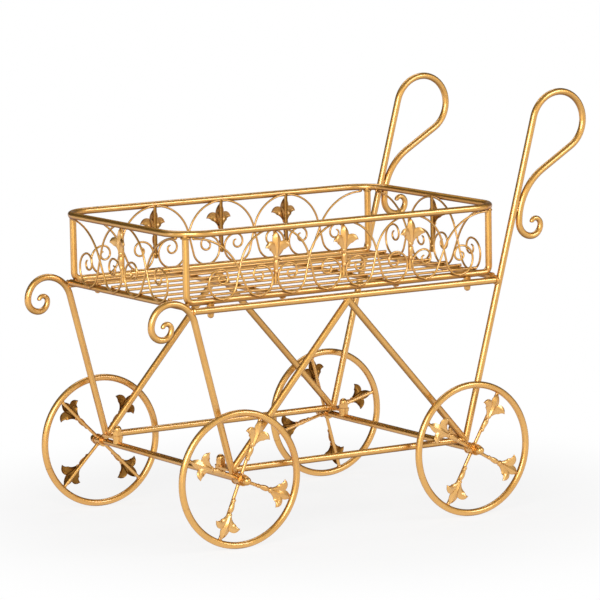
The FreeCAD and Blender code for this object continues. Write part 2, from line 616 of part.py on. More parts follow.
def panels(top_rail):
    """Stems, scroll wires and ornaments of the four tray panels."""
    nodes = {"panel_stems": []}
    tip_height = TOP_RAIL_HEIGHT - TRAY_ROD / 2 - FLEUR_TIP_GAP
    seat = max(STEM_ROD, SCROLL_WIRE) / 2 + WELD_GAP
    long_reach = STEM_SPACING - loop_foot(LONG_LOOP_RADIUS)
    short_reach = TRAY_Y - SHORT_LOOP_RADIUS - SHORT_LOOP_GAP
    up = Vector(0, 0, 1)
    for side, sign in SIDES.items():
        y = sign * PANEL_Y
        places = [MIDDLE_X - STEM_SPACING, MIDDLE_X, MIDDLE_X + STEM_SPACING]
        stems = [panel_stem(Vector(x, y, 0), TRAY_RAIL_HEIGHT, top_rail) for x in places]
        offsets = [x - MIDDLE_X for x in places]
        shares = (LONG_STRAIGHT_SHARE, LONG_END_STRAIGHT_SHARE)
        nodes[side + "_panel_scrolls"] = scroll_panel(
            offsets, corner_start(TOP_RAIL_OUT), TRAY_RAIL_HEIGHT, long_reach, shares,
            LONG_LOOP_RADIUS, lambda u, z, y=y: Vector(MIDDLE_X + u, y, z), stems,
        )
        out = Vector(0, sign, 0)
        nodes[side + "_panel_ornaments"] = [
            fleur(Vector(x, y + sign * seat, tip_height), up, out) for x in places
        ]
        nodes["panel_stems"] += stems
    for end, sign in ENDS.items():
        x = MIDDLE_X + sign * PANEL_OUT
        stem = panel_stem(Vector(x, 0, 0), END_ROD_HEIGHT, top_rail)
        shares = (SHORT_STRAIGHT_SHARE, SHORT_END_STRAIGHT_SHARE)
        nodes[end + "_panel_scrolls"] = scroll_panel(
            [0], corner_start(TOP_RAIL_Y), END_ROD_HEIGHT, short_reach, shares,
            SHORT_LOOP_RADIUS, crosswise(x), [stem],
        )
        tip = Vector(x + sign * seat, 0, tip_height)
        nodes[end + "_panel_ornament"] = fleur(tip, up, Vector(sign, 0, 0))
        nodes["panel_stems"].append(stem)
    return nodes


def panel_stem(place, low_rail, top_rail):
    """Stem that hangs from the top rail and ends between the two loops beside it."""
    up = Vector(0, 0, 1)
    foot = place + up * (low_rail + STEM_FOOT_RISE)
    return cut_rod(foot, place + up * TOP_RAIL_HEIGHT, STEM_ROD, [top_rail])


def tray():
    top_rail = tray_top_rail()
    side_rails = {side: tray_side_frame(side, top_rail) for side in SIDES}
    nodes = {"tray_top_rail": top_rail}
    nodes.update({"tray_" + side + "_frame": shape for side, shape in side_rails.items()})
    nodes.update(tray_floor(side_rails))
    nodes.update(panels(top_rail))
    nodes.update(tray_bolts(side_rails))
    return nodes


def write(name, shape):
    solids = shape if isinstance(shape, list) else [shape]
    body = Part.makeCompound(solids) if len(solids) > 1 else solids[0]
    body.exportStep(os.path.join("parts", name + ".step"))


def main():
    os.makedirs("parts", exist_ok=True)
    nodes = {}
    for side in SIDES:
        nodes.update(side_frame(side))
    axles = {name: axle(name) for name in AXLE_X}
    nodes.update({name + "_axle": shape for name, shape in axles.items()})
    nodes.update(axle_bolts(axles))
    nodes.update(wheel_hardware())
    for end, side in SPOKE_ANGLES:
        for piece, shape in wheel(end, side).items():
            nodes["_".join((end, side, piece))] = shape
    nodes.update(tray())
    for name, shape in nodes.items():
        write(name, shape)


main()
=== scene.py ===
"""Gold cart planter in a plain white studio.

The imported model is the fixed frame. Tapered legs, scroll wires, fleur ornaments and weld beads are
made here as plain meshes over it, and every finish is procedural. Lengths are in metres and angles in
degrees unless a name says otherwise.
"""
from __future__ import annotations

import logging
import math
from dataclasses import dataclass, field
from enum import Enum
from functools import partial
from typing import Callable, Iterable, Sequence

import bmesh
import bpy
from mathutils import Matrix, Quaternion, Vector, noise


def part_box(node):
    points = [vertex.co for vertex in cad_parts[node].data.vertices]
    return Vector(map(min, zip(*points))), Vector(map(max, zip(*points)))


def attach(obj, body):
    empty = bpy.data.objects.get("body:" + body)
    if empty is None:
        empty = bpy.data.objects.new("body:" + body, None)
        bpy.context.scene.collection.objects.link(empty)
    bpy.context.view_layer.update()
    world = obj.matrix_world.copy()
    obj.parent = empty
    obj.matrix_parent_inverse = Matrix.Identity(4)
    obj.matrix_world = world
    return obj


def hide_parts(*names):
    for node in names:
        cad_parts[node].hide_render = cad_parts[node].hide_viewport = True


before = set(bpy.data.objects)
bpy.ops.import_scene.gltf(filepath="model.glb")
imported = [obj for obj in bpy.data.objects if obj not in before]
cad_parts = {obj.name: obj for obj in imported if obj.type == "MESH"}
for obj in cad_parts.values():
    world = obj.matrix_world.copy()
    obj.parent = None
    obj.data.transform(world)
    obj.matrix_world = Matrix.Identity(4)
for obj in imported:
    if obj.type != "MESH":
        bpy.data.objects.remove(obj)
log = logging.getLogger("cart")

Colour = tuple[float, float, float]
Levels = tuple[float, float]
MM = 0.001
QUARTER = 90.0
FULL_TURN = 360.0
SEED = 11
ALONG = Vector((1, 0, 0))
ACROSS = Vector((0, 1, 0))
UP = Vector((0, 0, 1))


class Slot(Enum):
    """Material slots of the record."""

    ROD = "gold_rod"
    WHEEL = "gold_wheel"
    ORNAMENT = "gold_ornament"
    HARDWARE = "gold_hardware"


class Pattern(Enum):
    """Shapes that are spread over the cart, each with the name of its object."""

    WHEEL_FLEUR = "wheel_fleur_shape"
    PANEL_FLEUR = "panel_fleur_shape"
    COLLAR = "weld_collar"
    BLOB = "weld_blob"


class Place(Enum):
    """A side or an end of the cart, with the sign of its axis."""

    @property
    def label(self) -> str:
        """The place's word in node names."""
        return self.name.lower()


class Side(Place):
    """Long sides of the cart, with the sign of their Y."""

    LEFT = -1
    RIGHT = 1


class End(Place):
    """Short ends of the cart, with the sign of their X."""

    FRONT = -1
    REAR = 1


# Node trees
class Socket:
    """An output of a node that can be linked on and takes part in arithmetic."""

    def __init__(self, graph: Graph, raw: bpy.types.NodeSocket) -> None:
        """Holds a raw socket and the graph that it belongs to."""
        self.graph = graph
        self.raw = raw

    def other(self, name: str) -> Socket:
        """Another output of the same node."""
        return Socket(self.graph, self.raw.node.outputs[name])

    def maths(self, operation: str, first: object, second: object) -> Socket:
        """One Math node over two values or sockets."""
        return self.graph.node("ShaderNodeMath", {"operation": operation}, {0: first, 1: second})

    def __add__(self, value: object) -> Socket:
        """This value plus another."""
        return self.maths("ADD", self, value)

    def __radd__(self, value: object) -> Socket:
        """Another value plus this one."""
        return self.maths("ADD", value, self)

    def __sub__(self, value: object) -> Socket:
        """This value less another."""
        return self.maths("SUBTRACT", self, value)

    def __rsub__(self, value: object) -> Socket:
        """Another value less this one."""
        return self.maths("SUBTRACT", value, self)

    def __mul__(self, value: object) -> Socket:
        """This value times another."""
        return self.maths("MULTIPLY", self, value)

    def __rmul__(self, value: object) -> Socket:
        """Another value times this one."""
        return self.maths("MULTIPLY", value, self)

    def ramp(self, low: float, high: float) -> Socket:
        """A smooth 0 to 1 step between two levels of this value."""
        settings = {"interpolation_type": "SMOOTHSTEP"}
        return self.graph.node("ShaderNodeMapRange", settings, {0: self, 1: low, 2: high})


class Graph:
    """Makes and links the nodes of one shader or geometry tree."""

    def __init__(self, tree: bpy.types.NodeTree) -> None:
        """Takes the tree that the nodes go into."""
        self.tree = tree

    @classmethod
    def cleared(cls, owner: bpy.types.Material | bpy.types.World) -> Graph:
        """Switches on the nodes of a material or a world and clears them.

        Args:
            owner: The material or the world.

        Returns:
            A graph over its empty tree.
        """
        owner.use_nodes = True
        owner.node_tree.nodes.clear()
        return cls(owner.node_tree)

    def node(
        self,
        kind: str,
        settings: dict[str, object] | None = None,
        sockets: dict[int | str, object] | None = None,
        output: int | str = 0,
    ) -> Socket | None:
        """Makes one node.

        Args:
            kind: The node's type name.
            settings: Properties, set before the sockets.
            sockets: Values or sockets for its inputs, by name or number.
            output: The output to hand on.

        Returns:
            The chosen output, or None for a node that has none.
        """
        node = self.tree.nodes.new(kind)
        for key, value in (settings or {}).items():
            setattr(node, key, value)
        for key, value in (sockets or {}).items():
            if isinstance(value, Socket):
                self.tree.links.new(value.raw, node.inputs[key])
            else:
                node.inputs[key].default_value = value
        return Socket(self, node.outputs[output]) if len(node.outputs) else None

    def blend(self, share: Socket | float, first: object, second: object) -> Socket:
        """A colour between two colours or colour sockets."""
        ends = [end if isinstance(end, Socket) else (*end, 1.0) for end in (first, second)]
        return self.node("ShaderNodeMix", {"data_type": "RGBA"}, {0: share, 6: ends[0], 7: ends[1]}, 2)

    def along(self, place: Socket, way: Vector) -> Socket:
        """How far a place lies along a way."""
        sockets = {0: place, 1: tuple(way)}
        return self.node("ShaderNodeVectorMath", {"operation": "DOT_PRODUCT"}, sockets, "Value")


class GrowthTree(Graph):
    """A geometry tree with named inputs that turns a guide mesh into a piece."""

    CREASE = math.radians(38)

    def __init__(self, name: str, inputs: dict[str, str]) -> None:
        """Makes the tree's inputs and its output.

        Args:
            name: Name of the tree.
            inputs: Socket types of its own inputs, by name.
        """
        super().__init__(bpy.data.node_groups.new(name, "GeometryNodeTree"))
        interface = self.tree.interface
        interface.new_socket("Geometry", in_out="OUTPUT", socket_type="NodeSocketGeometry")
        labels = {"Geometry": "NodeSocketGeometry", **inputs, "Finish": "NodeSocketMaterial"}
        for label, kind in labels.items():
            interface.new_socket(label, in_out="INPUT", socket_type=kind)
        self.inlet = self.node("NodeGroupInput")

    def read(self, label: str) -> Socket:
        """One named input of the tree."""
        return self.inlet.other(label)

    def attribute(self, name: str, kind: str) -> Socket:
        """A named attribute of the guide mesh."""
        return self.node("GeometryNodeInputNamedAttribute", {"data_type": kind}, {"Name": name})

    def close(self, result: Socket) -> None:
        """Smooths all but steep edges, paints and hands out the result.

        Args:
            result: The grown mesh.
        """
        smooth = self.node("GeometryNodeSetShadeSmooth", sockets={"Geometry": result})
        angle = self.node("GeometryNodeInputMeshEdgeAngle")
        steep = self.node("ShaderNodeMath", {"operation": "GREATER_THAN"}, {0: angle, 1: self.CREASE})
        creased = self.node(
            "GeometryNodeSetShadeSmooth",
            {"domain": "EDGE"},
            {"Geometry": smooth, "Selection": steep, "Shade Smooth": False},
        )
        painted = self.node(
            "GeometryNodeSetMaterial", sockets={"Geometry": creased, "Material": self.read("Finish")}
        )
        self.node("NodeGroupOutput", sockets={"Geometry": painted})

    def grow(self, name: str, guide: bpy.types.Mesh, inputs: dict[str, object]) -> bpy.types.Object:
        """Runs the tree over a guide mesh.

        Args:
            name: Name of the piece.
            guide: Mesh with the attributes the tree reads.
            inputs: Values of the tree's named inputs.

        Returns:
            The piece as a plain mesh object.
        """
        source = linked(name + "_guide", guide)
        modifier = source.modifiers.new("growth", "NODES")
        modifier.node_group = self.tree
        for item in self.tree.interface.items_tree:
            if item.in_out == "INPUT" and item.name in inputs:
                modifier[item.identifier] = inputs[item.name]
        shown = source.evaluated_get(bpy.context.evaluated_depsgraph_get())
        mesh = bpy.data.meshes.new_from_object(shown)
        bpy.data.objects.remove(source)
        return piece(name, mesh)


class SweepTree(GrowthTree):
    """Sweeps a round rod along every chain of edges, thinned by the attribute thickness."""

    def __init__(self) -> None:
        """Builds the tree."""
        super().__init__("swept_rod", {"Diameter": "NodeSocketFloat", "Facets": "NodeSocketInt"})
        chain = self.node("GeometryNodeMeshToCurve", sockets={"Mesh": self.read("Geometry")})
        outline = self.node(
            "GeometryNodeCurvePrimitiveCircle",
            sockets={"Resolution": self.read("Facets"), "Radius": self.read("Diameter") * 0.5},
        )
        swept = self.node(
            "GeometryNodeCurveToMesh",
            sockets={
                "Curve": chain,
                "Profile Curve": outline,
                "Scale": self.attribute("thickness", "FLOAT"),
                "Fill Caps": True,
            },
        )
        self.close(swept)


class SpreadTree(GrowthTree):
    """Stands a copy of one shape on every point, turned and sized by the point's attributes."""

    def __init__(self) -> None:
        """Builds the tree."""
        inputs = {
            "Shape": "NodeSocketObject",
            "Spin": "NodeSocketFloat",
            "Least Size": "NodeSocketFloat",
            "Most Size": "NodeSocketFloat",
            "Seed": "NodeSocketInt",
        }
        super().__init__("spread_shapes", inputs)
        seed = self.read("Seed")
        shape = self.node("GeometryNodeObjectInfo", sockets={"Object": self.read("Shape")})
        spin = self.chance(0.0, self.read("Spin"), seed)
        angles = self.node("ShaderNodeCombineXYZ", sockets={"Z": spin})
        about = self.node("FunctionNodeEulerToRotation", sockets={0: angles})
        turn = self.node(
            "FunctionNodeRotateRotation",
            {"rotation_space": "LOCAL"},
            {0: self.attribute("turn", "QUATERNION"), 1: about},
        )
        share = self.chance(self.read("Least Size"), self.read("Most Size"), seed + 1)
        size = self.node(
            "ShaderNodeVectorMath",
            {"operation": "SCALE"},
            {0: self.attribute("size", "FLOAT_VECTOR"), "Scale": share},
        )
        copies = self.node(
            "GeometryNodeInstanceOnPoints",
            sockets={
                "Points": self.read("Geometry"),
                "Instance": shape.other("Geometry"),
                "Rotation": turn,
                "Scale": size,
            },
        )
        self.close(self.node("GeometryNodeRealizeInstances", sockets={"Geometry": copies}))

    def chance(self, low: Socket | float, high: Socket, seed: Socket) -> Socket:
        """A random number between two limits for every point."""
        limits = {2: low, 3: high, 8: seed}
        return self.node("FunctionNodeRandomValue", {"data_type": "FLOAT"}, limits, 1)


# Meshes
def linked(name: str, data: bpy.types.ID) -> bpy.types.Object:
    """Links new data to the scene as an object.

    Args:
        name: Name of the object.
        data: Its mesh, camera or lamp.

    Returns:
        The object.
    """
    made = bpy.data.objects.new(name, data)
    bpy.context.collection.objects.link(made)
    return made


def piece(name: str, mesh: bpy.types.Mesh) -> bpy.types.Object:
    """Links a mesh as an object of its own, faces outward.

    Args:
        name: Name of the object.
        mesh: Its mesh.

    Returns:
        The object.
    """
    shell = bmesh.new()
    shell.from_mesh(mesh)
    bmesh.ops.recalc_face_normals(shell, faces=shell.faces)
    shell.to_mesh(mesh)
    shell.free()
    return linked(name, mesh)


def settle(made: bpy.types.Object, body: str, nodes: Sequence[str] = ()) -> None:
    """Hangs a piece on its body and hides the nodes of the frame that it stands for.

    Args:
        made: The piece.
        body: The body that it moves with.
        nodes: The nodes of the frame that it replaces.
    """
    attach(made, body)
    if nodes:
        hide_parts(*nodes)
    log.info("%s: %d faces on %s", made.name, len(made.data.polygons), body)


@dataclass(frozen=True)
class Span:
    """The box of a node of the frame."""

    low: Vector
    high: Vector

    @classmethod
    def of(cls, node: str) -> Span:
        """The box of one node."""
        return cls(*(Vector(corner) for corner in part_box(node)))

    @property
    def centre(self) -> Vector:
        """Middle of the box."""
        return (self.low + self.high) / 2

    @property
    def size(self) -> Vector:
        """Extents of the box."""
        return self.high - self.low


class RodPath:
    """A flat path of straight runs and tangent arcs, walked from a point along a heading."""

    ARC_STEP = 5.0
    RUN_STEP = 12 * MM
    LEAST_ARC_STEPS = 3
    LEAST_RUN_STEPS = 2

    def __init__(self, across: float, height: float, heading: float) -> None:
        """Starts at a point with a heading."""
        self.points: list[tuple[float, float]] = [(across, height)]
        self.heading = heading

    def line(self, length: float) -> RodPath:
        """Walks straight on.

        Args:
            length: How far to walk.

        Returns:
            The path itself.
        """
        start = self.points[-1]
        turn = math.radians(self.heading)
        steps = max(self.LEAST_RUN_STEPS, math.ceil(length / self.RUN_STEP))
        for k in range(1, steps + 1):
            gone = length * k / steps
            self.points.append((start[0] + gone * math.cos(turn), start[1] + gone * math.sin(turn)))
        return self

    def arc(self, radius: float, turn: float) -> RodPath:
        """Walks round an arc.

        Args:
            radius: Radius of the arc.
            turn: Angle of the arc, to the left if positive and to the right if negative.

        Returns:
            The path itself.
        """
        out = math.radians(self.heading - math.copysign(QUARTER, turn))
        start = self.points[-1]
        centre = (start[0] - radius * math.cos(out), start[1] - radius * math.sin(out))
        steps = max(self.LEAST_ARC_STEPS, math.ceil(abs(turn) / self.ARC_STEP))
        for k in range(1, steps + 1):
            angle = out + math.radians(turn) * k / steps
            across = centre[0] + radius * math.cos(angle)
            self.points.append((across, centre[1] + radius * math.sin(angle)))
        self.heading += turn
        return self


@dataclass(frozen=True)
class Taper:
    """How the far end of a rod is drawn down to a blunt tip."""

    FLAT_SHARE = 0.12

    length: float
    tip_share: float
    round_length: float

    def thickness(self, left: float) -> float:
        """Thickness of the rod near its end.

        Args:
            left: Distance from the end.

        Returns:
            Share of the rod's full diameter.
        """
        drawn = min(1.0, left / self.length)
        share = self.tip_share + (1 - self.tip_share) * drawn * (2 - drawn)
        short = max(0.0, 1 - left / self.round_length)
        return share * max(self.FLAT_SHARE, math.sqrt(1 - short**2))


Chain = tuple[Sequence[Vector], Taper]


def guide_mesh(name: str, chains: Iterable[Chain]) -> bpy.types.Mesh:
    """Chains of edges with the attribute thickness, for a sweep.

    Args:
        name: Name of the mesh.
        chains: Points of every rod and the taper of its end.

    Returns:
        The mesh.
    """
    points, edges, shares = [], [], []
    for chain, taper in chains:
        first = len(points)
        left = 0.0
        lefts = [left]
        for k in range(len(chain) - 1, 0, -1):
            left += (chain[k] - chain[k - 1]).length
            lefts.append(left)
        points += chain
        shares += [taper.thickness(value) for value in reversed(lefts)]
        edges += [(first + k, first + k + 1) for k in range(len(chain) - 1)]
    mesh = bpy.data.meshes.new(name)
    mesh.from_pydata(points, edges, [])
    mesh.attributes.new("thickness", "FLOAT", "POINT").data.foreach_set("value", shares)
    return mesh


@dataclass(frozen=True)
class Stand:
    """One place of a spread shape: its origin, its three axes' turn and its size."""

    point: Vector
    turn: Quaternion
    size: Vector


def stand_mesh(name: str, stands: Sequence[Stand]) -> bpy.types.Mesh:
    """Points with the attributes turn and size, for a spread.

    Args:
        name: Name of the mesh.
        stands: The places of the copies.

    Returns:
        The mesh.
    """
    mesh = bpy.data.meshes.new(name)
    mesh.from_pydata([stand.point for stand in stands], [], [])
    turns = [value for stand in stands for value in stand.turn]
    sizes = [value for stand in stands for value in stand.size]
    mesh.attributes.new("turn", "QUATERNION", "POINT").data.foreach_set("value", turns)
    mesh.attributes.new("size", "FLOAT_VECTOR", "POINT").data.foreach_set("vector", sizes)
    return mesh


def even_turn(across: Vector, along: Vector, out: Vector) -> Quaternion:
    """The turn that takes X, Y and Z to three given directions."""
    return Matrix((across, along, out)).transposed().to_quaternion()


def skin(shell: bmesh.types.BMesh, lines: Sequence[Sequence[bmesh.types.BMVert]]) -> None:
    """Fills the strips between neighbouring lines of vertices with quads.

    Args:
        shell: Mesh to add to.
        lines: Lines with equal numbers of vertices.
    """
    for line, after in zip(lines, lines[1:]):
        for k in range(len(line) - 1):
            shell.faces.new((line[k], line[k + 1], after[k + 1], after[k]))


def shell_piece(name: str, shell: bmesh.types.BMesh) -> bpy.types.Object:
    """Turns a shell into an object and frees it.

    Args:
        name: Name of the object.
        shell: The shell.

    Returns:
        The object.
    """
    mesh = bpy.data.meshes.new(name)
    shell.to_mesh(mesh)
    shell.free()
    return piece(name, mesh)


# Finishes
@dataclass(frozen=True)
class GoldFinish:
    """Gold spray paint over steel: warm metal, painted shade in the corners, on the undersides and on
    hollow backs, and a soft clear gloss.
    """

    slot: Slot
    body: Colour = (0.82, 0.44, 0.10)
    warm: Colour = (0.72, 0.35, 0.07)
    # Dark brown of all the painted shade: undersides, corners and hollow backs.
    deep: Colour = (0.15, 0.06, 0.008)
    edge: Colour = (0.20, 0.09, 0.03)
    metal: float = 0.9
    roughness: float = 0.4
    mottle_roughness: float = 0.06
    corner_roughness: float = 0.15
    # Painted shade in corners: reach, samples, levels and depth of the ambient occlusion that darkens
    # the paint near other parts.
    corner_reach: float = 5 * MM
    corner_samples: int = 6
    corner_levels: Levels = (0.25, 0.95)
    corner_depth: float = 0.75
    # Painted shade on the undersides: the levels of a downward turn and how far such faces blend to
    # the shade brown.
    under_levels: Levels = (0.0, 0.8)
    underside: float = 0.7
    # Painted shade on hollow backs and the stems' inner sides: how far the attribute hollow blends the
    # paint to the shade brown.
    hollow_depth: float = 0.82
    coat: float = 0.75
    coat_roughness: float = 0.15
    coat_index: float = 1.8
    grain_detail: float = 3.0
    cloud_scale: float = 16.0
    cloud_levels: Levels = (0.35, 0.75)
    cloud_share: float = 0.6
    mottle_scale: float = 240.0
    mottle_levels: Levels = (0.5, 0.75)
    mottle_share: float = 0.15
    hammer_scale: float = 90.0
    hammer_detail: float = 1.0
    hammer_height: float = 0.06 * MM
    hammer_strength: float = 0.3

    def material(self) -> bpy.types.Material:
        """Builds the paint.

        Returns:
            The paint as a material.
        """
        made = bpy.data.materials.new(self.slot.value + "_finish")
        graph = Graph.cleared(made)
        spot = graph.node("ShaderNodeTexCoord", output="Object")
        cloud = self.noise(graph, spot, self.cloud_scale, self.grain_detail)
        mottle = self.noise(graph, spot, self.mottle_scale, self.grain_detail)
        hammer = self.noise(graph, spot, self.hammer_scale, self.hammer_detail)
        # Painted shade in corners: where other parts are near, ambient occlusion blends the paint to
        # the shade brown; the same mask roughens it.
        open_share = graph.node(
            "ShaderNodeAmbientOcclusion",
            {"samples": self.corner_samples},
            {"Distance": self.corner_reach},
            "AO",
        )
        corner = (1.0 - open_share).ramp(*self.corner_levels)
        # Painted shade on the undersides: the more a face turns down, the more its paint goes to the
        # shade brown.
        height = graph.node("ShaderNodeSeparateXYZ", sockets={0: spot.other("Normal")}, output="Z")
        under = (0.0 - height).ramp(*self.under_levels) * self.underside
        # Painted shade on the fleurs' hollow backs and the stems' inner sides, read from the attribute
        # hollow.
        hollow = graph.node("ShaderNodeAttribute", {"attribute_name": "hollow"}, output="Fac")
        patches = cloud.ramp(*self.cloud_levels) * self.cloud_share
        specks = mottle.ramp(*self.mottle_levels) * self.mottle_share
        paint = graph.blend(patches + specks, self.body, self.warm)
        paint = graph.blend(under, paint, self.deep)
        paint = graph.blend(hollow * self.hollow_depth, paint, self.deep)
        paint = graph.blend(corner * self.corner_depth, paint, self.deep)
        relief = graph.node(
            "ShaderNodeBump",
            sockets={
                "Strength": self.hammer_strength,
                "Distance": self.hammer_height,
                "Height": hammer,
            },
        )
        grain = mottle * self.mottle_roughness + corner * self.corner_roughness
        surface = graph.node(
            "ShaderNodeBsdfPrincipled",
            sockets={
                "Base Color": paint,
                "Metallic": self.metal,
                "Roughness": grain + (self.roughness - self.mottle_roughness / 2),
                "Specular Tint": (*self.edge, 1.0),
                # Gloss is taken off where shade is painted on undersides and hollow backs.
                "Coat Weight": (1.0 - under) * (1.0 - hollow) * self.coat,
                "Coat Roughness": self.coat_roughness,
                "Coat IOR": self.coat_index,
                "Normal": relief,
            },
        )
        graph.node("ShaderNodeOutputMaterial", sockets={"Surface": surface})
        return made

    @staticmethod
    def noise(graph: Graph, place: Socket, scale: float, detail: float) -> Socket:
        """A 0 to 1 noise over the object's own coordinates."""
        sockets = {"Vector": place, "Scale": scale, "Detail": detail}
        return graph.node("ShaderNodeTexNoise", sockets=sockets)


@dataclass(frozen=True)
class Paints:
    """The materials of the four slots."""

    of: dict[Slot, bpy.types.Material]

    @classmethod
    def mixed(cls) -> Paints:
        """Mixes the four gold finishes.

        Returns:
            Their materials by slot.
        """
        # Wheels and ornaments take no painted underside shade, the hardware a little.
        finishes = (
            GoldFinish(Slot.ROD),
            GoldFinish(Slot.WHEEL, underside=0.0),
            # The ornaments take deeper painted corner shade, from farther off.
            GoldFinish(
                Slot.ORNAMENT,
                body=(0.82, 0.46, 0.13),
                corner_reach=7 * MM,
                corner_depth=0.9,
                underside=0.0,
            ),
            GoldFinish(Slot.HARDWARE, roughness=0.34, underside=0.3),
        )
        return cls({finish.slot: finish.material() for finish in finishes})

    def paint_frame(self) -> None:
        """Gives every node of the frame the finish of its slot."""
        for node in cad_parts.values():
            node.data.materials[0] = self.of[Slot(node.data.materials[0].name.split(".")[0])]


# Shapes that are spread over the cart
@dataclass(frozen=True)
class Fleur:
    """A cast fleur: two arching petals, a ribbed centre leaf and a beaded half-round tail.

    The shape lies with X across, Y towards the leaf's tip and Z out of its flat back; the root of the
    head is the origin.
    """

    TANGENT_STEP = 0.01

    head: float = 37 * MM
    width: float = 42 * MM
    wall: float = 1.1 * MM
    # Painted shade on the hollow back: the value written to the attribute hollow there.
    back_shade: float = 1.0
    leaf_rise: float = 2.8 * MM
    petal_rise: float = 2.0 * MM
    full_rise_share: float = 0.07
    rows: int = 16
    columns: int = 8
    leaf_width_shares: tuple[float, ...] = (0.085, 0.085, 0.1, 0.135, 0.165, 0.155, 0.1, 0.008)
    leaf_height_shares: tuple[float, ...] = (0.045, 0.07, 0.085, 0.09, 0.08, 0.06, 0.035, 0.02)
    petal_width_shares: tuple[float, ...] = (0.06, 0.095, 0.135, 0.16, 0.16, 0.135, 0.08, 0.008)
    petal_height_shares: tuple[float, ...] = (0.03, 0.05, 0.065, 0.085, 0.115, 0.145, 0.165, 0.175)
    petal_curve_shares: tuple[tuple[float, float], ...] = (
        (0.03, 0.0), (0.10, 0.45), (0.30, 0.54), (0.5, 0.38),
    )
    tail_profile: tuple[tuple[float, float], ...] = (
        (3.6, 1.0), (3.0, 2.9), (1.5, 4.1), (0.0, 4.6), (-1.5, 4.1), (-3.0, 2.9), (-3.7, 2.6),
        (-4.6, 3.3), (-6.5, 3.9), (-9.5, 4.2), (-13.0, 3.9), (-16.0, 3.2), (-18.6, 2.6),
        (-19.3, 2.5), (-20.2, 3.0), (-21.6, 3.2), (-23.2, 2.8), (-24.4, 1.7), (-25.0, 0.3),
    )

    def shape(self, name: str) -> bpy.types.Object:
        """Builds the casting.

        Args:
            name: Name of the object.

        Returns:
            The casting as one mesh object.
        """
        shell = bmesh.new()
        shell.verts.layers.float.new("hollow")
        self.add_lobe(shell, self.leaf_point, self.leaf_width_shares, self.leaf_rise, True)
        for hand in (1, -1):
            spine = partial(self.petal_point, hand=hand)
            self.add_lobe(shell, spine, self.petal_width_shares, self.petal_rise, False)
        self.add_tail(shell)
        return shell_piece(name, shell)

    def leaf_point(self, share: float) -> Vector:
        """Spine of the centre leaf."""
        height = self.between(self.leaf_height_shares, share)
        return Vector((0, share * self.head, height * self.head))

    def petal_point(self, share: float, hand: int) -> Vector:
        """Spine of one petal, which arches out and droops.

        Args:
            share: Share of the way along the spine.
            hand: 1 for the petal on the right and -1 for the one on the left.

        Returns:
            The point of the spine.
        """
        left = 1 - share
        weights = (left**3, 3 * left**2 * share, 3 * left * share**2, share**3)
        across = sum(weight * point[0] for weight, point in zip(weights, self.petal_curve_shares))
        along = sum(weight * point[1] for weight, point in zip(weights, self.petal_curve_shares))
        height = self.between(self.petal_height_shares, share)
        return Vector((hand * across * self.width, along * self.head, height * self.head))

    @staticmethod
    def between(values: Sequence[float], share: float) -> float:
        """Reads a table smoothly between its values.

        Args:
            values: The table.
            share: Share of the way along it.

        Returns:
            The value there.
        """
        place = min(max(share, 0.0), 1.0) * (len(values) - 1)
        first = min(int(place), len(values) - 2)
        rest = place - first
        ends = [values[min(max(first + k, 0), len(values) - 1)] for k in (-1, 0, 1, 2)]
        slopes = ((ends[2] - ends[0]) / 2, (ends[3] - ends[1]) / 2)
        bend = 3 * (ends[2] - ends[1]) - 2 * slopes[0] - slopes[1]
        twist = 2 * (ends[1] - ends[2]) + slopes[0] + slopes[1]
        return ends[1] + rest * (slopes[0] + rest * (bend + rest * twist))

    def add_lobe(
        self,
        shell: bmesh.types.BMesh,
        spine: Callable[[float], Vector],
        widths: Sequence[float],
        rise: float,
        ribbed: bool,
    ) -> None:
        """Adds one hollow-backed lobe.

        Args:
            shell: Mesh to add to.
            spine: Point on the spine at a share of the way.
            widths: Half widths along the lobe, as shares of the fleur's width.
            rise: How far the face stands above its edges.
            ribbed: True for a sharp midrib, False for a round face.
        """
        hollow = shell.verts.layers.float["hollow"]
        fronts: list[list[bmesh.types.BMVert]] = []
        backs: list[list[bmesh.types.BMVert]] = []
        for row in range(self.rows + 1):
            share = row / self.rows
            after, before = min(share + self.TANGENT_STEP, 1), max(share - self.TANGENT_STEP, 0)
            run = (spine(after) - spine(before)).normalized()
            side = run.cross(UP).normalized()
            half = self.between(widths, share) * self.width
            swell = rise * min(1.0, half / (self.full_rise_share * self.width))
            fronts.append([])
            backs.append([])
            for column in range(self.columns + 1):
                offset = 2 * column / self.columns - 1
                crest = 1 - abs(offset) if ribbed else 1 - offset**2
                front = spine(share) + side * (half * offset) + UP * (swell * crest)
                fronts[-1].append(shell.verts.new(front))
                backs[-1].append(shell.verts.new(front - UP * self.wall))
                # The back's vertices carry the painted back shade.
                backs[-1][-1][hollow] = self.back_shade
        skin(shell, fronts)
        skin(shell, backs)
        skin(shell, [self.rim(fronts), self.rim(backs)])

    @staticmethod
    def rim(lines: Sequence[list[bmesh.types.BMVert]]) -> list[bmesh.types.BMVert]:
        """The vertices round a sheet, closed to its first corner.

        Args:
            lines: The sheet's lines of vertices.

        Returns:
            The loop, with its first vertex again at its end.
        """
        loop = lines[0][:-1] + [line[-1] for line in lines[:-1]]
        loop += lines[-1][:0:-1] + [line[0] for line in lines[:0:-1]]
        return loop + loop[:1]

    def add_tail(self, shell: bmesh.types.BMesh) -> None:
        """Adds the half-round beads and spindle below the head.

        Args:
            shell: Mesh to add to.
        """
        angles = [math.pi * k / self.columns for k in range(self.columns + 1)]
        rays = [(math.cos(angle), math.sin(angle)) for angle in angles]
        lines = []
        for along, radius in self.tail_profile:
            size = radius * MM
            lines.append([shell.verts.new((size * x, along * MM, size * z)) for x, z in rays])
        skin(shell, lines)
        skin(shell, [[line[0] for line in lines], [line[-1] for line in lines]])
        shell.faces.new(lines[0])
        shell.faces.new(lines[-1])

    def stand(self, tip: Vector, along: Vector, out: Vector) -> Stand:
        """A place for the fleur with its leaf's tip at a point of its seat."""
        turn = even_turn(along.cross(out), along, out)
        return Stand(tip - along * self.head, turn, Vector((1, 1, 1)))


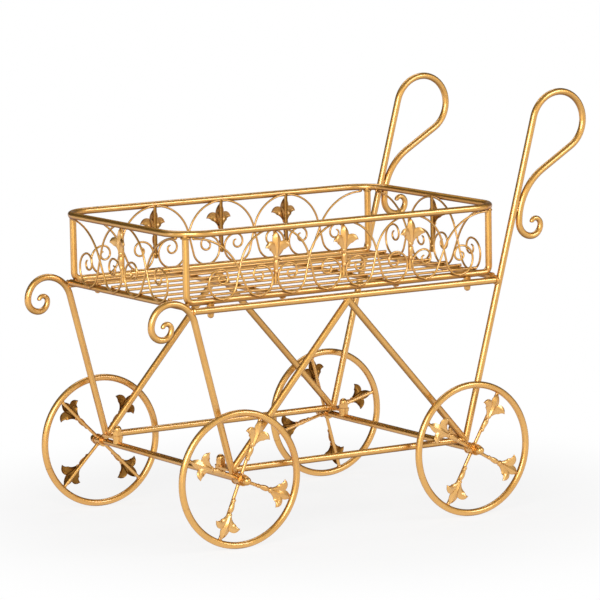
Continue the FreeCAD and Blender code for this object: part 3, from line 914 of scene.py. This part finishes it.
@dataclass(frozen=True)
class WeldShapes:
    """Lumpy weld metal: a collar round a rod's end and a blob between crossing wires."""

    collar_bulge: float = 0.34
    collar_steps: int = 18
    section_steps: int = 7
    collar_grain: float = 2.3
    blob_grain: float = 1.7
    blob_subdivisions: int = 2
    roughness: float = 0.3

    def collar(self) -> bpy.types.Object:
        """Builds a lumpy ring of radius 1 about Z.

        Returns:
            The ring.
        """
        shell = bmesh.new()
        rings = []
        for k in range(self.collar_steps):
            turn = 2 * math.pi * k / self.collar_steps
            ray = Vector((math.cos(turn), math.sin(turn), 0))
            ring = []
            for j in range(self.section_steps):
                angle = 2 * math.pi * j / self.section_steps
                spot = ray * (1 + self.collar_bulge * math.cos(angle))
                spot += UP * self.collar_bulge * math.sin(angle)
                swell = 1 + self.roughness * noise.noise(spot * self.collar_grain)
                ring.append(shell.verts.new(ray + (spot - ray) * swell))
            rings.append(ring + ring[:1])
        skin(shell, rings + rings[:1])
        return shell_piece(Pattern.COLLAR.value, shell)

    def blob(self) -> bpy.types.Object:
        """Builds a lumpy ball of radius 1.

        Returns:
            The ball.
        """
        shell = bmesh.new()
        bmesh.ops.create_icosphere(shell, subdivisions=self.blob_subdivisions, radius=1)
        for vertex in shell.verts:
            vertex.co *= 1 + self.roughness * noise.noise(vertex.co * self.blob_grain)
        return shell_piece(Pattern.BLOB.value, shell)


@dataclass
class Workshop:
    """Trees, shapes and paints that every sub-assembly uses."""

    FLEUR_CHANCE = (0.0, 1.0, 1.0)
    WELD_CHANCE = (2 * math.pi, 0.85, 1.15)

    paints: Paints
    sweep: SweepTree = field(default_factory=SweepTree)
    spread: SpreadTree = field(default_factory=SpreadTree)
    wheel_fleur: Fleur = Fleur()
    # The panel fleurs carry half the painted back shade of the wheel fleurs.
    panel_fleur: Fleur = Fleur(back_shade=0.5)
    weld_shapes: WeldShapes = WeldShapes()

    def __post_init__(self) -> None:
        """Makes the shapes that are spread."""
        self.shapes = {
            Pattern.WHEEL_FLEUR: self.wheel_fleur.shape(Pattern.WHEEL_FLEUR.value),
            Pattern.PANEL_FLEUR: self.panel_fleur.shape(Pattern.PANEL_FLEUR.value),
            Pattern.COLLAR: self.weld_shapes.collar(),
            Pattern.BLOB: self.weld_shapes.blob(),
        }

    def add_rods(
        self, name: str, chains: Sequence[Chain], diameter: float, facets: int, node: str
    ) -> None:
        """Sweeps rods of the frame along chains of points.

        Args:
            name: Name of the piece.
            chains: Points of every rod and the taper of its end.
            diameter: Diameter of the rods.
            facets: Number of sides of their section.
            node: The node that the piece replaces.
        """
        inputs = {"Diameter": diameter, "Facets": facets, "Finish": self.paints.of[Slot.ROD]}
        made = self.sweep.grow(name, guide_mesh(name + "_guide", chains), inputs)
        settle(made, "frame", [node])

    def add_fleurs(
        self, name: str, pattern: Pattern, stands: Sequence[Stand], body: str, node: str
    ) -> None:
        """Spreads fleurs on a body, all alike, in place of a node."""
        made = self.spread_shape(name, pattern, stands, Slot.ORNAMENT, self.FLEUR_CHANCE)
        settle(made, body, [node])

    def add_welds(
        self,
        name: str,
        pattern: Pattern,
        stands: Sequence[Stand],
        body: str = "frame",
        slot: Slot = Slot.ROD,
    ) -> None:
        """Spreads weld metal on a body, each lump turned and sized at random."""
        settle(self.spread_shape(name, pattern, stands, slot, self.WELD_CHANCE), body)

    def spread_shape(
        self,
        name: str,
        pattern: Pattern,
        stands: Sequence[Stand],
        slot: Slot,
        chance: tuple[float, float, float],
    ) -> bpy.types.Object:
        """Spreads one shape over its stands.

        Args:
            name: Name of the piece.
            pattern: The shape.
            stands: The places of its copies.
            slot: The slot of its paint.
            chance: The most spin and the least and most size of a copy.

        Returns:
            The piece.
        """
        spin, least, most = chance
        inputs = {
            "Shape": self.shapes[pattern],
            "Spin": spin,
            "Least Size": least,
            "Most Size": most,
            "Seed": SEED,
            "Finish": self.paints.of[slot],
        }
        return self.spread.grow(name, stand_mesh(name + "_stands", stands), inputs)

    def clear(self) -> None:
        """Takes the pattern shapes out of the scene."""
        for shape in self.shapes.values():
            bpy.data.objects.remove(shape)


def weld_stand(point: Vector, axis: Vector, radius: float, flat: float = 1.0) -> Stand:
    """A weld of a radius at a point, its Z along an axis and pressed flat by a share."""
    return Stand(point, axis.to_track_quat("Z", "Y"), Vector((radius, radius, radius * flat)))


@dataclass(frozen=True)
class WeldRow:
    """A row of weld blobs, at shares of a step to both sides of its middle."""

    shares: tuple[float, ...]
    step: float
    radius: float

    def stands(self, middle: Vector, run: Vector, axis: Vector) -> list[Stand]:
        """The blobs' places along a run."""
        spots = [middle + run * (share * self.step) for share in self.shares]
        return [weld_stand(spot, axis, self.radius) for spot in spots]


# Sub-assemblies
@dataclass
class Wheel:
    """Ornaments and welds of one wheel, over the rim, hub and spokes of the frame."""

    end: End
    side: Side
    first_angle: float
    shop: Workshop
    spoke_count: int = 4
    tip_gap: float = 0.3 * MM
    seat_gap: float = 0.1 * MM
    hub_weld_rise: float = 0.2
    hub_weld_share: float = 1.15
    rim_weld_share: float = 1.05
    seam_angle: float = 200.0
    seam_share: float = 0.42
    seam_flat: float = 0.5

    @property
    def label(self) -> str:
        """Start of the wheel's node names."""
        return self.end.label + "_" + self.side.label

    def build(self) -> None:
        """Adds the wheel's fleurs and welds."""
        rim = Span.of(self.label + "_rim")
        hub = Span.of(self.label + "_hub")
        spoke = Span.of(self.label + "_spokes").size.y / 2
        out = Vector((0, self.side.value, 0))
        tube = rim.size.y
        inner = rim.size.x / 2 - tube
        fleurs, welds = [], []
        for k in range(self.spoke_count):
            ray = self.ray(self.first_angle + k * FULL_TURN / self.spoke_count)
            tip = rim.centre + ray * (inner - self.tip_gap) + out * (spoke + self.seat_gap)
            fleurs.append(self.shop.wheel_fleur.stand(tip, ray, out))
            hub_reach = hub.size.x / 2 + spoke * self.hub_weld_rise
            welds.append(weld_stand(rim.centre + ray * hub_reach, ray, spoke * self.hub_weld_share))
            welds.append(weld_stand(rim.centre + ray * inner, ray, spoke * self.rim_weld_share))
        seam = self.ray(self.seam_angle)
        place = rim.centre + seam * (inner + tube / 2)
        welds.append(weld_stand(place, seam.cross(out), tube * self.seam_share, self.seam_flat))
        body, node = self.label + "_wheel", self.label + "_ornaments"
        self.shop.add_fleurs(self.label + "_fleurs", Pattern.WHEEL_FLEUR, fleurs, body, node)
        self.shop.add_welds(self.label + "_wheel_welds", Pattern.COLLAR, welds, body, Slot.WHEEL)

    @staticmethod
    def ray(angle: float) -> Vector:
        """A direction in the wheel's plane, from +X towards +Z."""
        return Vector((math.cos(math.radians(angle)), 0, math.sin(math.radians(angle))))


@dataclass
class SideFrame:
    """Legs with drawn-down curls and the welds of one side frame."""

    side: Side
    shop: Workshop
    front_lean: float = 14.5
    rear_lean: float = 15.3
    scroll_radius: float = 32 * MM
    scroll_shares: tuple[float, ...] = (1.25, 1.0, 0.56, 0.46, 0.24, 0.2)
    handle_radius: float = 43 * MM
    loop_shares: tuple[float, float, float] = (1.11, 1.0, 1.05)
    return_turn: float = 59.0
    return_radius: float = 88 * MM
    touch_gap: float = 0.4 * MM
    curl_radius: float = 21 * MM
    curl_shares: tuple[float, ...] = (1.05, 0.78, 0.45, 0.3)
    facets: int = 28
    front_taper: Taper = Taper(75 * MM, 0.62, 1.6 * MM)
    rear_taper: Taper = Taper(70 * MM, 0.66, 1.6 * MM)
    rail_collar_reach: float = 1.25
    rail_collar_share: float = 1.02
    foot_collar_reach: float = 1.3
    foot_collar_share: float = 1.05
    lug_half: float = 8 * MM
    lug_weld_reach: float = 0.95
    lug_row: WeldRow = WeldRow((-1, -0.4, 0.3, 1), 6.5 * MM, 1.7 * MM)
    apex_drop: float = 0.5 * MM
    apex_row: WeldRow = WeldRow((-1, 0, 1), 5 * MM, 3.0 * MM)
    return_row: WeldRow = WeldRow((-1.6, -0.6, 0.5, 1.5), 4 * MM, 2.5 * MM)

    def __post_init__(self) -> None:
        """Reads the places of the side's rails and axles from the frame."""
        self.rail = Span.of(self.side.label + "_upper_rail")
        self.low_rail = Span.of(self.side.label + "_lower_rail")
        self.rod = self.rail.size.y
        self.y = self.rail.centre.y
        self.foot = self.low_rail.low.z
        self.axles = {end: Span.of(end.label + "_axle").centre.x for end in End}

    def build(self) -> None:
        """Adds both legs and the welds."""
        rear = self.rear_path()
        legs = {End.FRONT: (self.front_path(), self.front_taper), End.REAR: (rear, self.rear_taper)}
        for end, (path, taper) in legs.items():
            name = f"{self.side.label}_{end.label}_leg"
            chain = [Vector((x, self.y, z)) for x, z in path.points]
            self.shop.add_rods(name + "_rod", [(chain, taper)], self.rod, self.facets, name)
        self.add_welds(rear)

    def front_path(self) -> RodPath:
        """Walks the front leg, up from its foot and round its curl.

        Returns:
            The path of the rod's middle.
        """
        lean = math.radians(self.front_lean)
        radii = [share * self.scroll_radius for share in self.scroll_shares]
        top = Span.of(self.side.label + "_front_leg").high.z - self.rod / 2
        rise = top - radii[0] * (1 - math.sin(lean)) - self.foot
        path = RodPath(self.axles[End.FRONT], self.foot, QUARTER + self.front_lean)
        path.line(rise / math.cos(lean)).arc(radii[0], QUARTER - self.front_lean)
        for radius in radii[1:]:
            path.arc(radius, QUARTER)
        return path

    def rear_path(self) -> RodPath:
        """Walks the rear leg, up from its foot, round the handle loop and back to the leg.

        Returns:
            The path of the rod's middle.
        """
        lean = math.radians(self.rear_lean)
        over, back, under = (share * self.handle_radius for share in self.loop_shares)
        top = Span.of(self.side.label + "_rear_leg").high.z - self.rod / 2
        rise = top - over * (1 - math.sin(lean)) - self.foot
        path = RodPath(self.axles[End.REAR], self.foot, QUARTER - self.rear_lean)
        path.line(rise / math.cos(lean)).arc(over, self.rear_lean - QUARTER)
        path.arc(back, -QUARTER).arc(under, -self.return_turn)
        heading = math.radians(path.heading)
        across = (math.cos(lean), -math.sin(lean))
        x, z = path.points[-1]
        reach = across[0] * (x - self.axles[End.REAR]) + across[1] * (z - self.foot)
        bend = 1 + across[0] * math.sin(heading) - across[1] * math.cos(heading)
        closing = across[0] * math.cos(heading) + across[1] * math.sin(heading)
        path.line((self.rod + self.touch_gap + self.return_radius * bend - reach) / closing)
        path.arc(self.return_radius, self.return_turn)
        for share in self.curl_shares:
            path.arc(share * self.curl_radius, QUARTER)
        return path

    def add_welds(self, rear: RodPath) -> None:
        """Adds collars at the rods' ends and blobs on the lugs, the braces and the handle's return.

        Args:
            rear: Path of the rear leg.
        """
        radius = self.rod / 2
        collars, blobs = [], []
        lugs = Span.of(self.side.label + "_tray_lugs")
        lug_y = self.y - self.side.value * radius * self.lug_weld_reach
        ends = ((End.FRONT, self.rail.low.x, lugs.low.x), (End.REAR, self.rail.high.x, lugs.high.x))
        for end, rail_x, lug_x in ends:
            x = rail_x - end.value * radius * self.rail_collar_reach
            place = Vector((x, self.y, self.rail.centre.z))
            collars.append(weld_stand(place, ALONG, radius * self.rail_collar_share))
            x = self.axles[end] - end.value * radius * self.foot_collar_reach
            place = Vector((x, self.y, self.low_rail.centre.z))
            collars.append(weld_stand(place, ALONG, radius * self.foot_collar_share))
            middle = Vector((lug_x - end.value * self.lug_half, lug_y, lugs.high.z))
            blobs += self.lug_row.stands(middle, ALONG, ALONG)
        apex = Vector((self.low_rail.centre.x, self.y, self.rail.low.z - self.apex_drop))
        blobs += self.apex_row.stands(apex, ALONG, ALONG)
        x, z = self.touch_point(rear)
        lean = math.radians(self.rear_lean)
        leg_run = Vector((math.sin(lean), 0, math.cos(lean)))
        blobs += self.return_row.stands(Vector((x, self.y, z)), leg_run, leg_run)
        self.shop.add_welds(self.side.label + "_frame_collars", Pattern.COLLAR, collars)
        self.shop.add_welds(self.side.label + "_frame_welds", Pattern.BLOB, blobs)

    def touch_point(self, rear: RodPath) -> tuple[float, float]:
        """Finds where the handle's return comes nearest to the leg.

        Args:
            rear: Path of the rear leg.

        Returns:
            X and Z of the place between the two rods.
        """
        lean = math.radians(self.rear_lean)
        foot_x = self.axles[End.REAR]

        def apart(point: tuple[float, float]) -> float:
            """Distance of a point from the straight of the leg."""
            return (point[0] - foot_x) * math.cos(lean) - (point[1] - self.foot) * math.sin(lean)

        half = len(rear.points) // 2
        x, z = min(rear.points[half:], key=apart)
        shift = (self.rod + self.touch_gap) / 2
        return x - shift * math.cos(lean), z + shift * math.sin(lean)


def stem_radius() -> float:
    """Radius of the stems, which stand in the plane of the scroll wires."""
    return Span.of("panel_stems").high.y - Span.of("right_panel_scrolls").centre.y


@dataclass
class ScrollPanel:
    """One side of the tray: its scroll wires, its fleurs and their welds."""

    label: str
    shop: Workshop
    along: Vector
    out: Vector
    loop_radius: float
    straight_shares: tuple[float, float]
    stem_reach: float
    stem_gap: float = 0.3 * MM
    end_gap: float = 0.2 * MM
    weld_sink: float = 0.2
    weld_share: float = 0.75
    rail_weld_drop: float = 0.3
    post_weld_rise: float = 0.4
    loop_shares: tuple[float, ...] = (1.0, 0.87, 0.52, 0.39, 0.3, 0.22)
    facets: int = 16
    taper: Taper = Taper(14 * MM, 0.7, 1.0 * MM)

    def __post_init__(self) -> None:
        """Reads the panel's box, wire and ornaments from the frame."""
        self.box = Span.of(self.label + "_panel_scrolls")
        self.fleur_node = self.label + "_panel_ornaments"
        if self.fleur_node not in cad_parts:
            self.fleur_node = self.label + "_panel_ornament"
        self.wire = abs(self.box.size.dot(self.out))
        self.stem_radius = stem_radius()
        self.half = self.box.size.dot(self.along) / 2

    def stems(self) -> list[float]:
        """Finds the stems.

        Returns:
            Their offsets from the panel's middle.
        """
        box = Span.of(self.fleur_node)
        spread = box.size.dot(self.along) / 2 - self.shop.panel_fleur.width / 2
        return [-spread, 0.0, spread] if spread > self.wire else [0.0]

    def at(self, offset: float, height: float) -> Vector:
        """A point of the panel's plane."""
        return Vector((*(self.box.centre + self.along * offset).xy, height))

    def build(self) -> None:
        """Adds the wires, fleurs and welds."""
        chains, touches = self.wires()
        node = self.label + "_panel_scrolls"
        self.shop.add_rods(self.label + "_scroll_wires", chains, self.wire, self.facets, node)
        seat = Span.of(self.fleur_node)
        depth = min((corner - self.box.centre).dot(self.out) for corner in (seat.low, seat.high))
        tips = [self.at(place, seat.high.z) + self.out * depth for place in self.stems()]
        stands = [self.shop.panel_fleur.stand(tip, UP, self.out) for tip in tips]
        name = self.label + "_fleurs"
        self.shop.add_fleurs(name, Pattern.PANEL_FLEUR, stands, "frame", self.fleur_node)
        sink = self.out * self.wire * self.weld_sink
        blobs = [weld_stand(point - sink, UP, self.wire * self.weld_share) for point in touches]
        self.shop.add_welds(self.label + "_panel_welds", Pattern.BLOB, blobs)

    def wires(self) -> tuple[list[Chain], list[Vector]]:
        """Walks all wires of the panel.

        Returns:
            Their chains, and the points where they are welded to rails and stems.
        """
        stems = self.stems()
        top = self.box.high.z - self.wire / 2
        bottom = self.box.low.z + self.wire / 2
        end_top = Span.of("tray_top_rail").low.z - self.wire / 2 - self.end_gap
        foot = self.stem_radius + self.stem_gap + self.wire / 2 + self.loop_radius
        reach = self.stem_reach if len(stems) == 1 else stems[-1] - foot
        chains, touches = [], []
        for hand in (1, -1):
            starts = [(place, top, reach, self.straight_shares[0]) for place in stems]
            end_reach = self.half + min(place * hand for place in stems) - foot
            starts.append((-hand * self.half, end_top, end_reach, self.straight_shares[1]))
            for start, height, advance, share in starts:
                path = self.wire_path(height, bottom, advance, share)
                chains.append(([self.at(start + hand * u, z) for u, z in path.points], self.taper))
                low = bottom - self.wire * self.rail_weld_drop
                touches.append(self.at(start + hand * advance, low))
            touches.append(self.at(-hand * self.half, end_top + self.wire * self.post_weld_rise))
            side = hand * (self.stem_radius + self.stem_gap / 2)
            touches += [self.at(place + side, bottom + self.loop_radius) for place in stems]
        return chains, touches

    def wire_path(self, top: float, bottom: float, advance: float, share: float) -> RodPath:
        """Walks a wire that swings down, runs straight and curls into a loop on the bottom rail.

        Args:
            top: Height of its start.
            bottom: Height of its loop's lowest point.
            advance: How far along the panel that point is from the start.
            share: Length of the straight run, as a share of the drop.

        Returns:
            The path of the wire's middle, from its start.
        """
        drop = top - bottom
        straight = share * drop
        turn = 2 * math.atan(drop / (advance + straight))
        swing = math.degrees(turn)
        radii = (advance - straight * math.cos(turn)) / math.sin(turn)
        path = RodPath(0, top, 0).arc(radii - self.loop_radius, -swing).line(straight)
        path.arc(self.loop_radius, swing)
        for loop_share in self.loop_shares:
            path.arc(loop_share * self.loop_radius, QUARTER)
        return path


@dataclass
class Tray:
    """The four scroll panels and the welds of the tray's rods."""

    shop: Workshop
    long_loop: float = 23 * MM
    short_loop: float = 26 * MM
    short_gap: float = 35.5 * MM
    long_shares: tuple[float, float] = (0.364, 0.348)
    short_shares: tuple[float, float] = (0.431, 0.36)
    wire_count: int = 7
    stem_margin: float = 1.1
    post_collar_drop: float = 0.6 * MM
    post_collar_share: float = 1.02
    cross_collar_gap: float = 0.4 * MM
    cross_collar_share: float = 1.04
    end_weld_reach: float = 0.75
    end_row: WeldRow = WeldRow((-1, 0, 1), 2.4 * MM, 2.2 * MM)
    floor_weld_reach: float = 0.42
    floor_weld_rise: float = 0.12
    floor_weld_share: float = 0.34
    floor_weld_flat: float = 0.8

    def build(self) -> None:
        """Adds the panels, shades the stems and adds the welds between the rods."""
        rail = Span.of("tray_left_frame")
        half_width = abs(rail.centre.y)
        long_fit = (self.long_loop, self.long_shares, 0.0)
        for side in Side:
            out = Vector((0, side.value, 0))
            ScrollPanel(side.label, self.shop, ALONG, out, *long_fit).build()
        reach = half_width - self.short_loop - self.short_gap
        short_fit = (self.short_loop, self.short_shares, reach)
        for end in End:
            out = Vector((end.value, 0, 0))
            ScrollPanel(end.label, self.shop, ACROSS, out, *short_fit).build()
        self.shade_stems()
        self.add_welds(rail, half_width)

    def shade_stems(self) -> None:
        """Paints shade on the inner sides of the stems: the attribute hollow darkens the paint there.
        """
        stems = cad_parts["panel_stems"]
        middle = Span.of("tray_top_rail").centre
        planes = (
            abs(Span.of("front_panel_scrolls").centre.x - middle.x),
            abs(Span.of("right_panel_scrolls").centre.y - middle.y),
        )
        radius = stem_radius()
        shade = stems.data.attributes.new("hollow", "FLOAT", "POINT")
        for vertex, mark in zip(stems.data.vertices, shade.data):
            spot = stems.matrix_world @ vertex.co - middle
            depths = [plane - abs(part) for plane, part in zip(planes, spot.xy)]
            near = [depth for depth in depths if abs(depth) < self.stem_margin * radius]
            mark.value = min(max([0.0, *near]) / radius, 1.0)

    def add_welds(self, rail: Span, half_width: float) -> None:
        """Adds collars on the posts and cross rods and blobs on the end rods and floor wires.

        Args:
            rail: Box of one side of the tray's frame.
            half_width: Y of that side's rods.
        """
        top = Span.of("tray_top_rail")
        cross = Span.of("tray_cross_rods")
        ends = Span.of("tray_end_rods")
        floor = Span.of("tray_floor_wires")
        radius = rail.size.y / 2
        thin = cross.size.z / 2
        wire = floor.size.z
        cross_places = (cross.low.x + thin, cross.high.x - thin)
        end_places = (ends.low.x + radius, ends.high.x - radius)
        collars, blobs = [], []
        for side in Side:
            y = side.value * half_width
            for x in (rail.low.x + radius, rail.high.x - radius):
                place = Vector((x, y, top.low.z - self.post_collar_drop))
                collars.append(weld_stand(place, UP, radius * self.post_collar_share))
            for x in cross_places:
                inner = y - side.value * (radius + self.cross_collar_gap)
                place = Vector((x, inner, cross.centre.z))
                collars.append(weld_stand(place, ACROSS, thin * self.cross_collar_share))
            lift = radius * self.end_weld_reach
            for x in end_places:
                inner = x + math.copysign(1, rail.centre.x - x) * lift
                middle = Vector((inner, y, ends.centre.z + lift))
                blobs += self.end_row.stands(middle, ACROSS, UP)
        spacing = 2 * half_width / (self.wire_count + 1)
        height = floor.low.z + wire * self.floor_weld_rise
        for k in range(1, self.wire_count + 1):
            y = k * spacing - half_width
            for x in (end_places[0], *cross_places, end_places[1]):
                for hand in (-1, 1):
                    spot = Vector((x, y + hand * wire * self.floor_weld_reach, height))
                    size = wire * self.floor_weld_share
                    blobs.append(weld_stand(spot, UP, size, self.floor_weld_flat))
        self.shop.add_welds("tray_collars", Pattern.COLLAR, collars)
        self.shop.add_welds("tray_welds", Pattern.BLOB, blobs)


# Studio
@dataclass(frozen=True)
class Lamp:
    """A soft white rectangular lamp aimed at the cart, with its steps from the camera's target."""

    name: str
    right: float
    back: float
    up: float
    size: tuple[float, float]
    power: float


@dataclass
class Studio:
    """Camera, lamps, surroundings and the white floor."""

    target: Vector = field(default_factory=lambda: Vector((-13.96 * MM, 0, 313.6 * MM)))
    azimuth: float = -31.99
    elevation: float = 8.08
    roll: float = -1.01
    distance: float = 6.0751
    focal_share: float = 4101.6 / 600
    sensor: float = 36.0
    far_limit: float = 500.0
    floor_half: float = 60.0
    paper: Colour = (0.9, 0.9, 0.9)
    horizon: float = 0.8
    zenith: float = 0.2
    height_levels: Levels = (0.05, 0.6)
    behind: float = 0.25
    behind_levels: Levels = (-0.7, 0.5)
    shade: float = 0.85
    shade_levels: Levels = (0.2, 0.9)
    shade_way: tuple[float, float] = (-0.89, -0.45)
    room_shade: float = 0.65
    room_levels: Levels = (0.2, 1.2)
    shadow_share: float = 0.18
    shadow_levels: Levels = (0.3, 0.75)
    lamps: tuple[Lamp, ...] = (
        Lamp("front", -0.35, 2.2, 0.75, (1.4, 0.9), 32.0),
        Lamp("right", 2.0, 0.9, 1.1, (0.9, 0.8), 16.0),
        Lamp("left", -1.9, 1.0, 0.3, (0.5, 1.4), 4.0),
        Lamp("behind", -0.3, -1.2, 1.7, (1.6, 0.6), 10.0),
    )

    def __post_init__(self) -> None:
        """Works out the camera's directions."""
        turn, lift = math.radians(self.azimuth), math.radians(self.elevation)
        flat = math.cos(lift)
        self.back = Vector((math.sin(turn) * flat, -math.cos(turn) * flat, math.sin(lift)))
        self.right = Vector((math.cos(turn), math.sin(turn), 0))
        self.up = self.back.cross(self.right)
        self.flat_back = Vector((*self.back.xy, 0)).normalized()

    def build(self) -> None:
        """Sets up the whole studio."""
        self.add_camera()
        self.add_world()
        self.add_floor()
        for lamp in self.lamps:
            self.add_lamp(lamp)
        bpy.context.scene.view_settings.view_transform = "Standard"
        log.info("studio: %d lamps", len(self.lamps))

    def add_camera(self) -> None:
        """Places the camera where the photo was taken from."""
        lens = bpy.data.cameras.new("camera")
        lens.sensor_width = self.sensor
        lens.lens = self.focal_share * self.sensor
        lens.clip_end = self.far_limit
        eye = linked("camera", lens)
        roll = math.radians(self.roll)
        across = self.right * math.cos(roll) + self.up * math.sin(roll)
        above = self.up * math.cos(roll) - self.right * math.sin(roll)
        eye.matrix_world = Matrix.Translation(self.target + self.back * self.distance) @ (
            Matrix((across, above, self.back)).transposed().to_4x4()
        )
        bpy.context.scene.camera = eye

    def add_world(self) -> None:
        """Pale surroundings that darken towards the ceiling, the back and the cart's front end."""
        world = bpy.data.worlds.new("surroundings")
        bpy.context.scene.world = world
        graph = Graph.cleared(world)
        way = graph.node("ShaderNodeTexCoord", output="Generated")
        height = graph.node("ShaderNodeSeparateXYZ", sockets={0: way}, output="Z")
        shaded = self.right * self.shade_way[0] + self.flat_back * self.shade_way[1]
        toward = [graph.along(way, aim) for aim in (self.flat_back, shaded)]
        level = height.ramp(*self.height_levels) * (self.zenith - self.horizon) + self.horizon
        level = level * (toward[0].ramp(*self.behind_levels) * (1 - self.behind) + self.behind)
        level = level * (1.0 - toward[1].ramp(*self.shade_levels) * self.shade)
        light = graph.node("ShaderNodeBackground", sockets={"Color": level})
        graph.node("ShaderNodeOutputWorld", sockets={"Surface": light})

    def add_floor(self) -> None:
        """A white floor that keeps the cart's shadow near it and runs to pure white farther off."""
        mesh = bpy.data.meshes.new("floor")
        half = self.floor_half
        corners = [(-half, -half, 0), (half, -half, 0), (half, half, 0), (-half, half, 0)]
        mesh.from_pydata(corners, [], [(0, 1, 2, 3)])
        floor = linked("floor", mesh)
        paper = bpy.data.materials.new("white_paper")
        graph = Graph.cleared(paper)
        ray = graph.node("ShaderNodeLightPath")
        place = graph.node("ShaderNodeTexCoord", output="Object")
        away = graph.node("ShaderNodeVectorMath", {"operation": "LENGTH"}, {0: place}, "Value")
        nearer = graph.along(place, self.flat_back)
        mirrored = ray.other("Is Glossy Ray") + ray.other("Is Transmission Ray")
        room = 1.0 - nearer.ramp(*self.room_levels) * self.room_shade
        seen = ray.other("Is Camera Ray") + mirrored * room
        white = away.ramp(*self.shadow_levels) * self.shadow_share + (1 - self.shadow_share)
        matt = graph.node("ShaderNodeBsdfDiffuse", sockets={"Color": (*self.paper, 1.0)})
        glow = graph.node("ShaderNodeEmission", sockets={"Strength": 1.0})
        surface = graph.node("ShaderNodeMixShader", sockets={0: seen * white, 1: matt, 2: glow})
        graph.node("ShaderNodeOutputMaterial", sockets={"Surface": surface})
        mesh.materials.append(paper)

    def add_lamp(self, lamp: Lamp) -> None:
        """Places one lamp and aims it at the target.

        Args:
            lamp: The lamp.
        """
        light = bpy.data.lights.new(lamp.name, "AREA")
        light.shape = "RECTANGLE"
        light.size, light.size_y = lamp.size
        light.energy = lamp.power
        offset = self.right * lamp.right + self.flat_back * lamp.back + UP * lamp.up
        made = linked(lamp.name, light)
        made.location = self.target + offset
        made.rotation_euler = offset.to_track_quat("Z", "Y").to_euler()


SPOKE_ANGLES = {
    (End.FRONT, Side.LEFT): 67.0,
    (End.REAR, Side.LEFT): 60.0,
    (End.FRONT, Side.RIGHT): 45.0,
    (End.REAR, Side.RIGHT): 15.0,
}


def main() -> None:
    """Dresses the frame and sets up the studio."""
    logging.basicConfig(level=logging.INFO, format="%(message)s")
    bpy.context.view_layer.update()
    paints = Paints.mixed()
    paints.paint_frame()
    shop = Workshop(paints)
    for side in Side:
        SideFrame(side, shop).build()
    for (end, side), angle in SPOKE_ANGLES.items():
        Wheel(end, side, angle, shop).build()
    Tray(shop).build()
    shop.clear()
    Studio().build()


if __name__ == "__main__":
    main()
